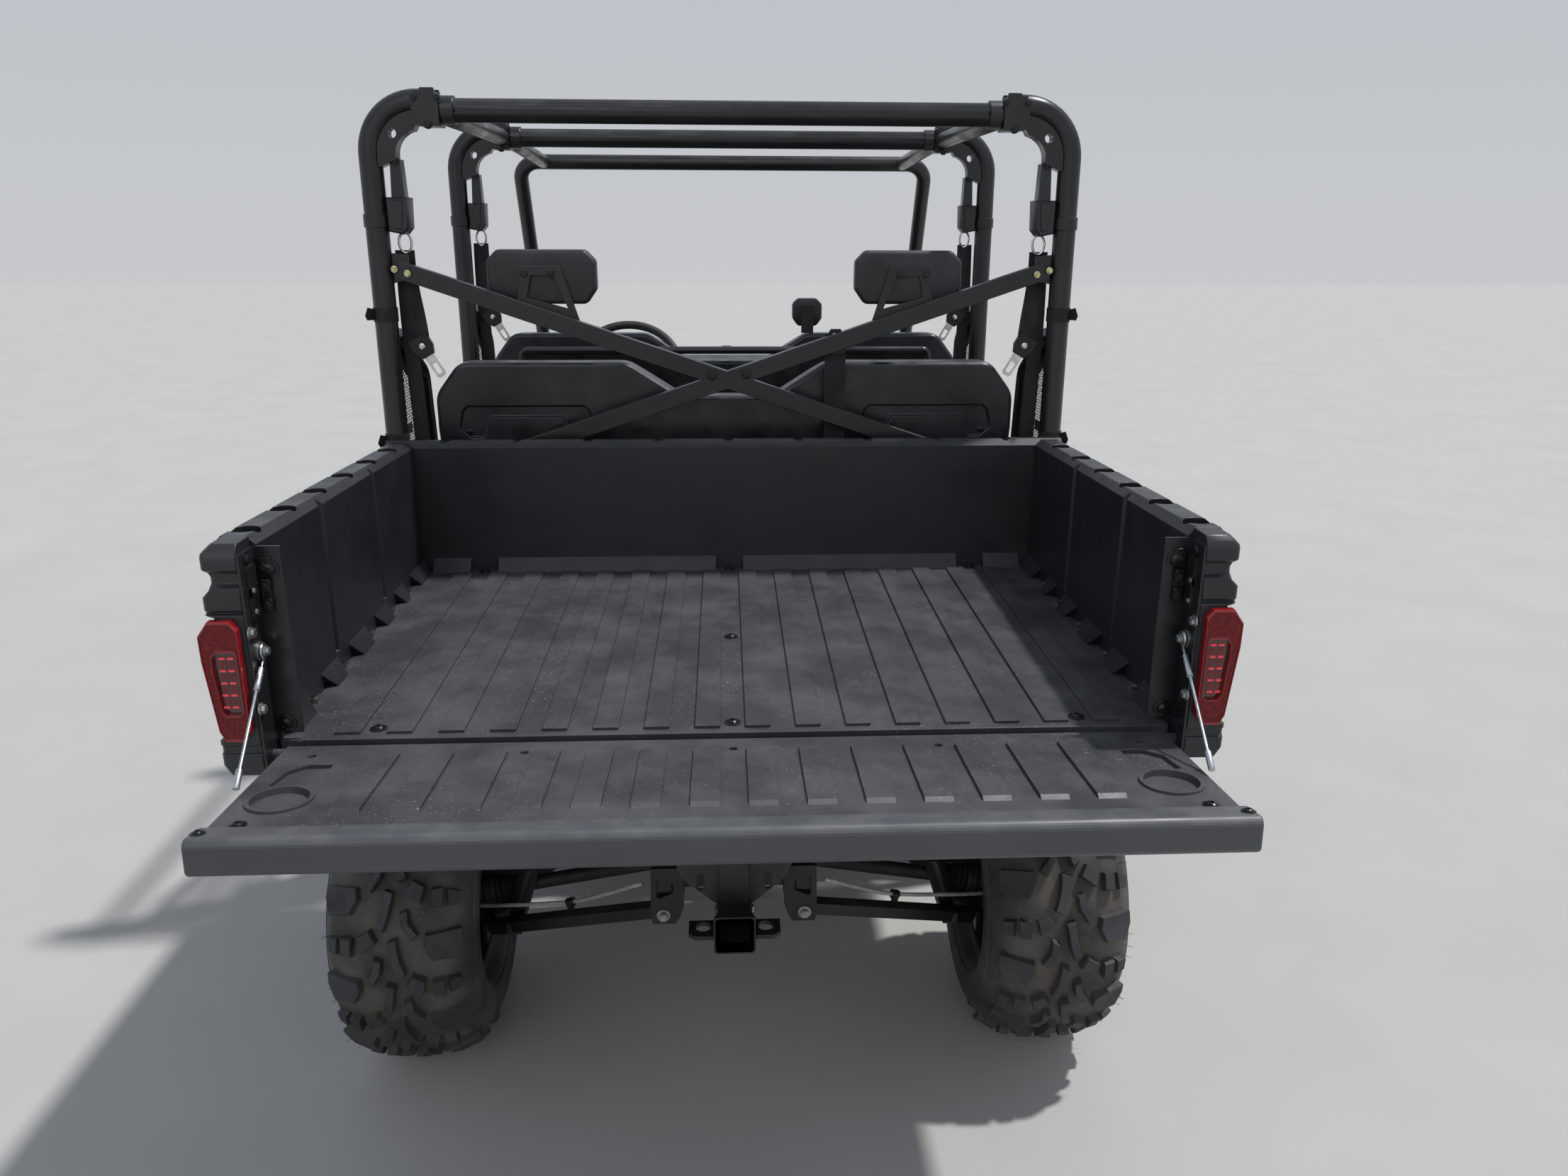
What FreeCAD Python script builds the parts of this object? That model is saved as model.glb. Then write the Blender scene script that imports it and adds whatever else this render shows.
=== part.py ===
import FreeCAD, Part
import Sketcher
import math
import os
from types import SimpleNamespace
from FreeCAD import Placement, Rotation, Vector

# Two-row side by side utility vehicle with a dump bed, tailgate lowered, 1:1 in millimetres.
# +Y is forward, +X is the vehicle's right, +Z is up. Stations are measured forward from the bed's rear edge.

doc = FreeCAD.newDocument("side_by_side")
sheet = doc.addObject("Spreadsheet::Sheet", "Sizes")

SIZES = [
    # alias, millimetres or degrees, what it is
    ("wheelbase", 2870, "front axle to rear axle"),
    ("rear_axle_station", 435, "rear axle forward of the bed's rear edge"),
    ("front_end_station", 3834, "front of the bumper"),
    ("tyre_radius", 317.5, "25 inch tyre, to the lug tips"),
    ("rear_tyre_width", 280, "11 inch section"),
    ("front_tyre_width", 254, "10 inch section"),
    ("rear_wheel_offset", 627, "rear wheel's middle from the centre line"),
    ("front_wheel_offset", 640, "front wheel's middle from the centre line"),
    ("rim_radius", 152.4, "12 inch bead seat"),
    ("rim_width", 200, "between the rim's flanges"),
    ("rim_wall", 3.5, "rim sheet thickness"),
    ("lug_depth", 17, "tread lug height"),
    ("bed_floor_top", 876, "top of the bed's ribs"),
    ("bed_length", 933, "inside length of the bed"),
    ("bed_half_width", 715, "centre line to the inside of a side wall"),
    ("bed_outer_half", 780, "centre line to the outside of the rail"),
    ("bed_floor_thickness", 30, "moulded floor"),
    ("bed_rib_height", 5, "floor and tailgate ribs"),
    ("bed_rib_pitch", 82.1, "rib to rib"),
    ("bed_rib_width", 41, "one rib"),
    ("bed_rib_start", 16.5, "ribs' rear end"),
    ("bed_rib_end", 902, "ribs' front end"),
    ("rail_top_rear", 1204, "side rail's top at the rear"),
    ("rail_top_front", 1175, "side rail's top at the front"),
    ("rail_chamfer", 14, "rail edge chamfer"),
    ("rail_hole_radius", 23, "stake pocket in the rail"),
    ("rail_hole_depth", 30, "stake pocket depth"),
    ("rail_hole_pitch", 154.5, "stake pocket spacing on a side"),
    ("rail_hole_first", 55, "first stake pocket's station"),
    ("front_wall_thickness", 45, "bed's front wall"),
    ("foot_height", 30, "sloped foot along the bed's walls"),
    ("foot_width", 22, "sloped foot's run on the floor"),
    ("pivot_station", -20, "tailgate hinge"),
    ("pivot_height", 856, "tailgate hinge above the ground"),
    ("gate_length", 348, "hinge to the lip's face"),
    ("gate_half_width", 700, "half of the gate's panel"),
    ("gate_tilt", 4, "degrees above level when it is lowered"),
    ("gate_thickness", 30, "gate panel"),
    ("gate_rise", 10, "gate's inner face above its hinge"),
    ("lip_depth", 54, "gate lip's plain face"),
    ("gate_pin_radius", 9, "gate hinge pin"),
    ("bed_pivot_station", 70, "bed's tilt hinge"),
    ("bed_pivot_height", 772, "bed's tilt hinge above the ground"),
    ("tube_radius", 25, "cage tube"),
    ("tube_wall", 3, "cage tube's wall"),
    ("cage_half_width", 770, "centre line to the middle of a hoop's leg"),
    ("cage_bend", 110, "hoop's corner bend"),
    ("rear_hoop_station", 1012, "rear hoop"),
    ("mid_hoop_station", 1872, "middle hoop"),
    ("front_hoop_station", 2650, "front hoop's cross tube"),
    ("cage_top", 1900, "hoop's highest middle line"),
    ("cross_tube_height", 1882, "rear and middle cross tubes"),
    ("front_cross_height", 1853, "front cross tube"),
    ("brace_anchor_height", 1552, "upper end of a diagonal brace"),
    ("brace_width", 38, "diagonal brace's face"),
    ("brace_thickness", 25, "diagonal brace's depth"),
    ("sill_rail_top", 370, "outer frame rails under the cab floor"),
    ("seat_back_depth", 104, "seat back's shell and cushion"),
    ("floor_thickness", 6, "cab floor's moulding"),
    ("seat_top", 1338, "top of the seat backs"),
    ("cushion_top", 880, "top of the cushions"),
    ("cushion_thickness", 105, "cushions"),
    ("seat_half_width", 665, "half of a bench"),
    ("rear_seat_station", 1068, "rear seat back's rear face"),
    ("front_seat_station", 1800, "front seat back's rear face"),
    ("steering_wheel_radius", 178, "rim's middle line"),
    ("steering_grip", 14, "steering wheel's rim section"),
    ("steering_offset", -340, "steering wheel's middle"),
    ("steering_lock", 28, "degrees either way at the front wheels"),
    ("kingpin_offset", 566, "steering axis from the centre line"),
    ("rail_half_gap", 190, "main rail's middle from the centre line"),
    ("rail_width", 45, "main rail"),
    ("rail_depth", 64, "main rail"),
    ("ground_clearance", 285, "under the main rails"),
    ("hub_radius", 38, "wheel hub"),
    ("receiver_outer", 63.5, "hitch receiver's outside"),
    ("receiver_inner", 51.2, "two inch hitch socket"),
    ("receiver_height", 460, "hitch socket's middle"),
    ("receiver_station", 45, "hitch socket's mouth"),
    ("steering_arm", 90, "steering arm ahead of the kingpin"),
    ("body_half_width", 787, "fender edge from the centre line"),
    ("running_gap", 0.3, "clearance of parts that turn"),
]

for row, (alias, value, note) in enumerate(SIZES, start=1):
    sheet.set(f"A{row}", alias)
    sheet.set(f"B{row}", str(value))
    sheet.setAlias(f"B{row}", alias)
    sheet.set(f"C{row}", note)
doc.recompute()
v = SimpleNamespace(**{alias: float(getattr(sheet, alias)) for alias, value, note in SIZES})

front_axle_station = v.rear_axle_station + v.wheelbase
gate_angle = math.radians(v.gate_tilt)
lip_station = v.pivot_station - v.gate_length * math.cos(gate_angle)
mid_station = (v.front_end_station + lip_station) / 2
HOME = Placement(Vector(0, -mid_station, 0), Rotation())
SIDES = (("left", -1), ("right", 1))
NODES = []


def keep(item, placement=HOME):
    """Register a finished sub-part, moved from stations into the vehicle's frame."""
    item.Placement = placement.multiply(item.Placement)
    NODES.append(item)
    return item


def feature(label, shape):
    """A sub-part whose shape is built by Part's own functions."""
    item = doc.addObject("Part::Feature", label)
    item.Label = label
    item.Shape = shape
    return keep(item)


def fuse(shapes):
    """One shape out of several that touch or overlap."""
    first, *rest = shapes
    return first.multiFuse(rest).removeSplitter() if rest else first


def both(shape):
    """The shape and its mirror image across the centre line."""
    return [shape, shape.mirror(Vector(0, 0, 0), Vector(1, 0, 0))]


def side_of(shape, side):
    """The right-hand shape, or its mirror image for side -1."""
    return shape if side > 0 else shape.mirror(Vector(0, 0, 0), Vector(1, 0, 0))


def block(low, high):
    """A box between two corners."""
    x, y, z = (b - a for a, b in zip(low, high))
    return Part.makeBox(x, y, z, Vector(*low))


def prism(points, direction):
    """A closed outline of points, pushed along a direction."""
    corners = [Vector(*p) for p in points]
    face = Part.Face(Part.makePolygon(corners + corners[:1]))
    return face.extrude(Vector(*direction))


def cylinder(radius, start, end):
    """A round bar between two points."""
    start, end = Vector(*start), Vector(*end)
    return Part.makeCylinder(radius, (end - start).Length, start, end - start)


def ring(outer, inner, start, end):
    """A round tube between two points."""
    return cylinder(outer, start, end).cut(cylinder(inner, start, end))


def bent_path(points, radius):
    """Straight runs joined by tangent arcs of one radius."""
    points = [Vector(*p) for p in points]
    edges = []
    start = points[0]
    for before, corner, after in zip(points, points[1:], points[2:]):
        back = (before - corner).normalize()
        ahead = (after - corner).normalize()
        half = math.acos(max(-1.0, min(1.0, back.dot(ahead)))) / 2
        reach = radius / math.tan(half)
        first = corner + back * reach
        last = corner + ahead * reach
        middle = corner + (back + ahead).normalize() * (radius / math.sin(half) - radius)
        edges.append(Part.LineSegment(start, first).toShape())
        edges.append(Part.Arc(first, middle, last).toShape())
        start = last
    edges.append(Part.LineSegment(start, points[-1]).toShape())
    return Part.Wire(edges)


def bent_tube(points, bend, radius, wall=0.0):
    """A bent round tube or, with no wall, a bent round bar."""
    path = bent_path(points, bend)
    first = path.Edges[0]
    at = first.valueAt(first.FirstParameter)
    along = first.tangentAt(first.FirstParameter)

    def swept(size):
        profile = Part.Wire([Part.makeCircle(size, at, along)])
        return path.makePipeShell([profile], True, False)

    solid = swept(radius)
    return solid.cut(swept(radius - wall)) if wall else solid


def box_bar(start, end, width, thickness, up=(0, 1, 0)):
    """A rectangular bar from start to end; its thickness lies along up."""
    start, end = Vector(*start), Vector(*end)
    along = (end - start).normalize()
    deep = Vector(*up)
    deep = (deep - along * deep.dot(along)).normalize()
    wide = along.cross(deep)
    corners = [start + wide * (a * width / 2) + deep * (b * thickness / 2)
               for a, b in ((-1, -1), (1, -1), (1, 1), (-1, 1))]
    face = Part.Face(Part.makePolygon(corners + corners[:1]))
    return face.extrude(end - start)


def turned(points, centre, axis=(1, 0, 0)):
    """A solid turned about the X axis through centre, from (along, radius) points."""
    x, y, z = centre
    corners = [Vector(x + along, y, z + radius) for along, radius in points]
    face = Part.Face(Part.makePolygon(corners + corners[:1]))
    return face.revolve(Vector(x, y, z), Vector(*axis), 360)


def origin_plane(body, role):
    """A body's own origin plane."""
    return next(f for f in body.Origin.OriginFeatures if f.Role == role)


def rectangle(body, name, role, centre, width, height, offset=0.0):
    """A sketch of one rectangle whose sides are bound to the sheet's cells."""
    sketch = body.newObject("Sketcher::SketchObject", name)
    sketch.AttachmentSupport = [(origin_plane(body, role), "")]
    sketch.MapMode = "FlatFace"
    sketch.AttachmentOffset = Placement(Vector(0, 0, offset), Rotation())
    cx, cy = centre
    corners = [Vector(cx - 1, cy - 1), Vector(cx + 1, cy - 1), Vector(cx + 1, cy + 1), Vector(cx - 1, cy + 1)]
    for a, b in zip(corners, corners[1:] + corners[:1]):
        sketch.addGeometry(Part.LineSegment(a, b), False)
    for i in range(4):
        sketch.addConstraint(Sketcher.Constraint("Coincident", i, 2, (i + 1) % 4, 1))
        sketch.addConstraint(Sketcher.Constraint("Horizontal" if i % 2 == 0 else "Vertical", i))
    # origin to the lower left corner, then the two sides
    left = sketch.addConstraint(Sketcher.Constraint("DistanceX", -1, 1, 0, 1, cx - 1))
    low = sketch.addConstraint(Sketcher.Constraint("DistanceY", -1, 1, 0, 1, cy - 1))
    wide = sketch.addConstraint(Sketcher.Constraint("DistanceX", 0, 1, 0, 2, 2))
    tall = sketch.addConstraint(Sketcher.Constraint("DistanceY", 1, 1, 1, 2, 2))
    sketch.setExpression(f"Constraints[{wide}]", width)
    sketch.setExpression(f"Constraints[{tall}]", height)
    sketch.setExpression(f"Constraints[{left}]", f"{cx} - ({width}) / 2")
    sketch.setExpression(f"Constraints[{low}]", f"{cy} - ({height}) / 2")
    return sketch


# Cargo bed

rib_low = v.bed_floor_top - v.bed_rib_height
floor_bottom = v.bed_floor_top - v.bed_floor_thickness
rib_places = [(k + 0.5) * v.bed_rib_pitch for k in range(-8, 8)]


def rail_top(station):
    """Height of a side rail's top along the bed."""
    share = station / v.bed_length
    return v.rail_top_rear + (v.rail_top_front - v.rail_top_rear) * share


def make_bed_floor():
    """Moulded floor: a padded slab with a linear pattern of raised ribs."""
    body = doc.addObject("PartDesign::Body", "bed_floor")
    body.Label = "bed_floor"
    slab = rectangle(body, "slab_outline", "XY_Plane", (0, v.bed_length / 2),
                     "Sizes.bed_half_width * 2", "Sizes.bed_length", floor_bottom)
    pad = body.newObject("PartDesign::Pad", "slab")
    pad.Profile = slab
    pad.setExpression("Length", "Sizes.bed_floor_thickness - Sizes.bed_rib_height")
    rib_length = "Sizes.bed_rib_end - Sizes.bed_rib_start"
    rib_middle = (v.bed_rib_start + v.bed_rib_end) / 2
    outline = rectangle(body, "rib_outline", "XY_Plane", (rib_places[0], rib_middle),
                        "Sizes.bed_rib_width", rib_length, rib_low)
    rib = body.newObject("PartDesign::Pad", "rib")
    rib.Profile = outline
    rib.setExpression("Length", "Sizes.bed_rib_height")
    doc.recompute()
    ribs = body.newObject("PartDesign::LinearPattern", "ribs")
    ribs.Originals = [rib]
    ribs.Direction = (origin_plane(body, "X_Axis"), [""])
    ribs.Length = v.bed_rib_pitch * (len(rib_places) - 1)
    ribs.Occurrences = len(rib_places)
    body.Tip = ribs
    doc.recompute()
    return keep(body)


wall_start = 9.6
flange_start, flange_end = 5.3, 9.3


def wall_section(station, z_low):
    """Side wall's section, the rail on top of it, at one station."""
    inner, outer, chamfer = v.bed_half_width, v.bed_outer_half, v.rail_chamfer
    top = rail_top(station)
    panel = outer - 14
    points = [(inner, z_low), (inner, top - chamfer), (inner + chamfer, top), (outer - chamfer, top),
              (outer, top - chamfer), (outer, top - 40), (panel, top - 54), (panel, z_low)]
    corners = [Vector(x, station, z) for x, z in points]
    return Part.makePolygon(corners + corners[:1])


GROOVES = (301, 611)
POCKETS = ((132, 200), (468, 524), (744, 800))


def make_bed_side(side):
    """Double side wall with its rail, stake pockets, grooves and sloped foot."""
    z_low = floor_bottom
    wall = Part.makeLoft([wall_section(wall_start, z_low), wall_section(v.bed_length, z_low)], True, True)
    cuts = []
    for i in range(6):
        station = v.rail_hole_first + i * v.rail_hole_pitch
        top = rail_top(station)
        middle = (v.bed_half_width + v.bed_outer_half) / 2
        cuts.append(cylinder(v.rail_hole_radius, (middle, station, top - v.rail_hole_depth),
                             (middle, station, top + 20)))
    for station in GROOVES:
        groove = [(v.bed_half_width - 5, station - 14, v.bed_floor_top - 20),
                  (v.bed_half_width + 9, station - 2, v.bed_floor_top - 20),
                  (v.bed_half_width + 9, station + 12, v.bed_floor_top - 20),
                  (v.bed_half_width - 5, station + 12, v.bed_floor_top - 20)]
        cuts.append(prism(groove, (0, 0, rail_top(station) - v.bed_floor_top + 60)))
    wall = wall.cut(cuts[0].multiFuse(cuts[1:]))
    feet = []
    edges = [14] + [edge for pocket in POCKETS for edge in pocket] + [v.bed_length - 4]
    for start, end in zip(edges[::2], edges[1::2]):
        foot = [(v.bed_half_width, start, rib_low), (v.bed_half_width - v.foot_width, start, rib_low),
                (v.bed_half_width, start, rib_low + v.foot_height)]
        feet.append(prism(foot, (0, end - start, 0)))
    return feature(f"bed_side_{'right' if side > 0 else 'left'}", side_of(fuse([wall] + feet), side))


def make_front_wall():
    """Front wall of the bed, its rail with stake pockets and its notched foot."""
    front, back = v.bed_length + v.front_wall_thickness, v.bed_length
    top, chamfer = v.rail_top_front, v.rail_chamfer
    outer = v.bed_outer_half
    section = [(-outer, back, floor_bottom), (-outer, back, top - chamfer), (-outer, back + chamfer, top),
               (-outer, front - chamfer, top), (-outer, front, top - chamfer), (-outer, front, floor_bottom)]
    wall = prism(section, (2 * outer, 0, 0))
    pitch = 162
    for k in range(-4, 5):
        middle = (back + front) / 2
        wall = wall.cut(cylinder(13, (k * pitch, middle, top - v.rail_hole_depth), (k * pitch, middle, top + 5)))
    parts = [wall]
    bolts = (-572.5, 0, 572.5)
    notch = 32
    edges = [-v.bed_half_width + v.foot_width + 2] + [b + s for b in bolts for s in (-notch, notch)]
    edges.append(v.bed_half_width - v.foot_width - 2)
    for start, end in zip(edges[::2], edges[1::2]):
        foot = [(start, back, rib_low), (start, back - v.foot_width, rib_low),
                (start, back, rib_low + v.foot_height)]
        parts.append(prism(foot, (end - start, 0, 0)))
    return feature("bed_front_wall", fuse(parts))


post_face = -52
post_inner = v.bed_half_width + 8


def make_corner_posts():
    """Moulded rear corners: cap, neck, stepped block and lower block round each lamp."""
    outer = v.bed_outer_half
    profile = [(outer - 4, v.rail_top_rear - 14), (outer - 4, v.rail_top_rear - 32), (outer - 10, 1160),
               (outer - 10, 1142), (outer, 1130), (outer, 1096), (outer - 14, 1092), (outer - 14, 898),
               (outer + 2, 894), (outer - 10, 836), (post_inner, 836), (post_inner, v.rail_top_rear),
               (outer - 18, v.rail_top_rear)]
    shell = prism([(x, post_face, z) for x, z in profile], (0, flange_end - post_face, 0))
    cap_slope = prism([(post_inner - 5, post_face - 1, v.rail_top_rear - 14),
                       (post_inner - 5, post_face - 1, v.rail_top_rear + 1),
                       (post_inner - 5, post_face + 26, v.rail_top_rear + 1)], (90, 0, 0))
    neck = block((post_inner - 5, post_face - 1, 1142), (outer + 5, post_face + 9, 1166))
    post = shell.cut(cap_slope).cut(neck)
    return feature("bed_corner_posts", Part.makeCompound(both(post)))


def make_tail_lights():
    """Lamp housings, outline with clipped corners, let into the posts."""
    outer = v.bed_outer_half
    low, high = 898.5, 1091.5
    outline = [(outer - 46, high), (outer - 8, high), (outer + 7, high - 22), (outer + 7, high - 60),
               (outer - 4, low + 20), (outer - 14, low), (outer - 52, low), (outer - 52, high - 10)]
    lamp = prism([(x, post_face - 12, z) for x, z in outline], (0, 12 - 0.3, 0))
    side_lens = prism([(outer - 13.7, post_face - 0.3, low), (outer - 13.7, post_face - 0.3, high),
                       (outer + 4, post_face - 0.3, high - 22), (outer - 4, post_face - 0.3, low + 20)],
                      (0, 34, 0))
    window = block((outer - 40, post_face - 13, low + 42), (outer - 10, post_face - 9, high - 42))
    lamp = fuse([lamp, side_lens]).cut(window)
    return feature("tail_lights", Part.makeCompound(both(lamp)))


gate_side = v.gate_half_width
bracket_face = v.bed_half_width + 4
cable_top = (-22, 1030)


def make_gate_brackets():
    """Steel end plates of the side walls with the latch blocks, cable studs and hinge bores."""
    top = v.rail_top_rear - 16
    flange = block((v.bed_half_width - 36, flange_start, v.bed_floor_top + 6), (post_inner - 0.3, flange_end, top))
    web = block((bracket_face, post_face + 2, 842), (post_inner - 0.3, flange_end, top))
    hinge_hole = cylinder(v.gate_pin_radius + v.running_gap, (gate_side - 20, v.pivot_station, v.pivot_height),
                          (post_inner + 5, v.pivot_station, v.pivot_height))
    latch = block((bracket_face - 6, -34, 1085), (bracket_face, -8, 1165))
    slot = block((bracket_face - 7, -35, 1118), (bracket_face - 2, -20, 1132))
    stud = cylinder(8, (bracket_face - 10, cable_top[0], cable_top[1]), (bracket_face, cable_top[0], cable_top[1]))
    bracket = fuse([flange, web, latch.cut(slot), stud]).cut(hinge_hole)
    return feature("gate_brackets", Part.makeCompound(both(bracket)))


subframe_depth = 40
subframe_low = floor_bottom - subframe_depth


def make_bed_subframe():
    """Steel channels under the bed's floor with the tilt hinge's ears and the damper's lug."""
    bars = []
    for x in (-300, 300):
        bars.append(block((x - 25, 5, subframe_low), (x + 25, v.bed_length + 40, floor_bottom)))
    for station in (20, 300, 600, 900):
        bars.append(block((-v.bed_half_width, station, subframe_low + 12),
                          (v.bed_half_width, station + 35, floor_bottom)))
    ears = []
    for x in (-300, 300):
        ear = fuse([cylinder(22, (x - 6, v.bed_pivot_station, v.bed_pivot_height),
                             (x + 6, v.bed_pivot_station, v.bed_pivot_height)),
                    block((x - 6, v.bed_pivot_station - 22, v.bed_pivot_height),
                          (x + 6, v.bed_pivot_station + 22, subframe_low + 2))])
        ears.append(ear)
    frame = fuse(bars + ears)
    for x in (-300, 300):
        frame = frame.cut(cylinder(10 + v.running_gap, (x - 30, v.bed_pivot_station, v.bed_pivot_height),
                                   (x + 30, v.bed_pivot_station, v.bed_pivot_height)))
    keel = block((damper_x + 12, 310, subframe_low + 12), (damper_x + 52, 620, floor_bottom))
    lug = block((damper_x + 18, damper_top[0] - 22, damper_top[1] - 20),
                (damper_x + 24, damper_top[0] + 22, subframe_low + 14))
    return feature("bed_subframe", fuse([frame, keel, lug]))


# Damper that holds the tilted bed: (station, height) of its lower pin and of its rod's eye
damper_x = -120
damper_top = (360, 785)
damper_foot = (700, 480)


def damper_point(share, side=0.0):
    """A point along the closed damper, 0 at the lower pin and 1 at the rod's eye."""
    y = damper_foot[0] + (damper_top[0] - damper_foot[0]) * share
    z = damper_foot[1] + (damper_top[1] - damper_foot[1]) * share
    return (damper_x + side, y, z)


def make_damper():
    """Gas damper: its tube and its rod, with an eye at each end."""
    tube = ring(14, 6.3, damper_point(0.06), damper_point(0.82))
    foot_eye = cylinder(16, damper_point(0, -9), damper_point(0, 9)).cut(
        cylinder(8.3, damper_point(0, -20), damper_point(0, 20)))
    end_plug = cylinder(14, damper_point(0.03), damper_point(0.08)).cut(
        cylinder(16, damper_point(0, -20), damper_point(0, 20)))
    feature("damper_tube", fuse([tube, foot_eye, end_plug]))
    rod = cylinder(6, damper_point(0.14), damper_point(0.98))
    eye = cylinder(15, damper_point(1, -8), damper_point(1, 8)).cut(
        cylinder(8.3, damper_point(1, -20), damper_point(1, 20)))
    rod = rod.cut(cylinder(14, damper_point(1, -20), damper_point(1, 20)))
    feature("damper_rod", fuse([rod, eye]))


# Tailgate, modelled level behind its hinge and then turned up by gate_tilt

GATE = HOME.multiply(Placement(Vector(0, v.pivot_station, v.pivot_height), Rotation(Vector(1, 0, 0), -v.gate_tilt)))
gate_end = -v.gate_length
seam = -v.gate_length + 56


def gate_feature(label, shape):
    """A piece of the tailgate, in the gate's own level frame about its hinge."""
    item = doc.addObject("Part::Feature", label)
    item.Label = label
    item.Shape = shape
    return keep(item, GATE)


def make_gate_panel():
    """Tailgate's moulded panel: ribs, a cup ring and a clipped pocket at each outer corner."""
    base = v.gate_rise
    panel = block((-gate_side, seam, base - v.gate_thickness), (gate_side, 8, base))
    knuckle = cylinder(18, (-gate_side + 2, 0, 0), (gate_side - 2, 0, 0))
    keep_low = block((-gate_side, -18, -30), (gate_side, 8, base))
    parts = [panel, knuckle.common(keep_low)]
    for x in rib_places[1:-1]:
        half = v.bed_rib_width / 2
        rib = [(x, seam + 40, base), (x, -36, base), (x, -44, base + v.bed_rib_height),
               (x, seam + 48, base + v.bed_rib_height)]
        parts.append(prism([(px - half, py, pz) for px, py, pz in rib], (2 * half, 0, 0)))
    cups = []
    for x in (-636, 636):
        cups.append(ring(46, 40, (x, -202, base), (x, -202, base + 4)))
        cups.append(cylinder(40, (x, -202, base - 6), (x, -202, base)))
    pocket = [(-672, -150, base - 6), (-664, -95, base - 6), (-640, -72, base - 6), (-604, -72, base - 6),
              (-604, -150, base - 6)]
    pockets = both(prism(pocket, (0, 0, 10)))
    solid = fuse(parts + [cups[0], cups[2]])
    solid = solid.cut(cups[1].multiFuse([cups[3]] + pockets))
    for x in (-648, -324, 0, 324, 648):
        solid = solid.cut(cylinder(7, (x, -36, base - 12), (x, -36, base + 1)))
    pins = both(cylinder(v.gate_pin_radius, (gate_side - 30, 0, 0), (post_inner - 1, 0, 0)))
    return gate_feature("tailgate_panel", fuse([solid] + pins))


def make_gate_cap():
    """Tailgate's folded lip: a textured slope and a plain face."""
    top = v.gate_rise + 10
    side = gate_side + 8
    profile = [(seam, v.gate_rise - v.gate_thickness), (seam, v.gate_rise + 4), (seam - 10, top - 4),
               (gate_end + 8, top), (gate_end, top - 8), (gate_end, top - v.lip_depth + 8),
               (gate_end + 8, top - v.lip_depth), (seam - 16, top - v.lip_depth)]
    cap = prism([(-side, y, z) for y, z in profile], (2 * side, 0, 0))
    return gate_feature("tailgate_cap", cap)


def make_gate_cables():
    """Taut steel cables from the brackets' studs to the gate's sides."""
    x = bracket_face - 5
    upper = Vector(x, cable_top[0], cable_top[1] - 10.4)
    lower = Vector(gate_side + 6, -195, 886)
    cable = cylinder(2.5, upper, lower)
    along = (lower - upper).normalize()
    ferrule = cylinder(5, upper + along * 20, upper + along * 58)
    end = cylinder(5, lower - along * 30, lower)
    return feature("tailgate_cables", Part.makeCompound(both(fuse([cable, ferrule, end]))))


make_bed_floor()
for name, side in SIDES:
    make_bed_side(side)
make_front_wall()
make_corner_posts()
make_tail_lights()
make_gate_brackets()
make_bed_subframe()
make_damper()
make_gate_panel()
make_gate_cap()
make_gate_cables()


# Roll cage

tube, wall = v.tube_radius, v.tube_wall
leg = v.cage_half_width
HOOP_BOTTOM = v.sill_rail_top + 8


def make_hoop(label, station, cross_height):
    """One hoop: two legs bent inward at the top, its cross tube and the gussets that join them."""
    points = [(leg, station, HOOP_BOTTOM), (leg, station, v.cage_top), (leg - 140, station, v.cage_top)]
    bend = bent_tube(points, v.cage_bend, tube)
    gusset = [(leg - 150, station - 24, v.cage_top + 16), (leg - 108, station - 24, v.cage_top + 20),
              (leg - 96, station - 24, v.cage_top - 50), (leg - 150, station - 24, cross_height - 28)]
    foot = block((leg - 17, station - 38, HOOP_BOTTOM - 8), (leg + 17, station + 38, HOOP_BOTTOM))
    parts = both(fuse([bend, prism(gusset, (0, 48, 0)), foot]))
    parts.append(cylinder(tube, (-(leg - 130), station, cross_height), (leg - 130, station, cross_height)))
    return feature(label, fuse(parts))


pillar_foot = (3130, 1120)


def make_front_hoop():
    """Front cross tube and the two raked pillars that come down to the cowl."""
    station, height = v.front_hoop_station, v.front_cross_height
    parts = [cylinder(tube, (-590, station, height), (590, station, height))]
    points = [(585, station, height), (leg - 52, station, height), (leg - 38, *pillar_foot)]
    foot = block((leg - 78, pillar_foot[0] - 45, pillar_foot[1] - 24),
                 (leg + 2, pillar_foot[0] + 45, pillar_foot[1] + 6))
    parts += both(fuse([bent_tube(points, 70, tube), foot]))
    return feature("cage_front_hoop", fuse(parts))


def make_roof_rails():
    """Tubes along the roof between the hoops' gussets."""
    x = leg - 140
    rails = []
    clear = tube + v.running_gap
    runs = (((v.rear_hoop_station + clear, v.cross_tube_height), (v.mid_hoop_station - clear, v.cross_tube_height)),
            ((v.mid_hoop_station + clear, v.cross_tube_height),
             (v.front_hoop_station - clear, v.front_cross_height)))
    for (y0, z0), (y1, z1) in runs:
        rails += both(cylinder(22, (x, y0, z0), (x, y1, z1)))
    return feature("cage_roof_rails", Part.makeCompound(rails))


brace_station = v.rear_hoop_station
brace_half = leg - 36
brace_low = 1058


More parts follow.
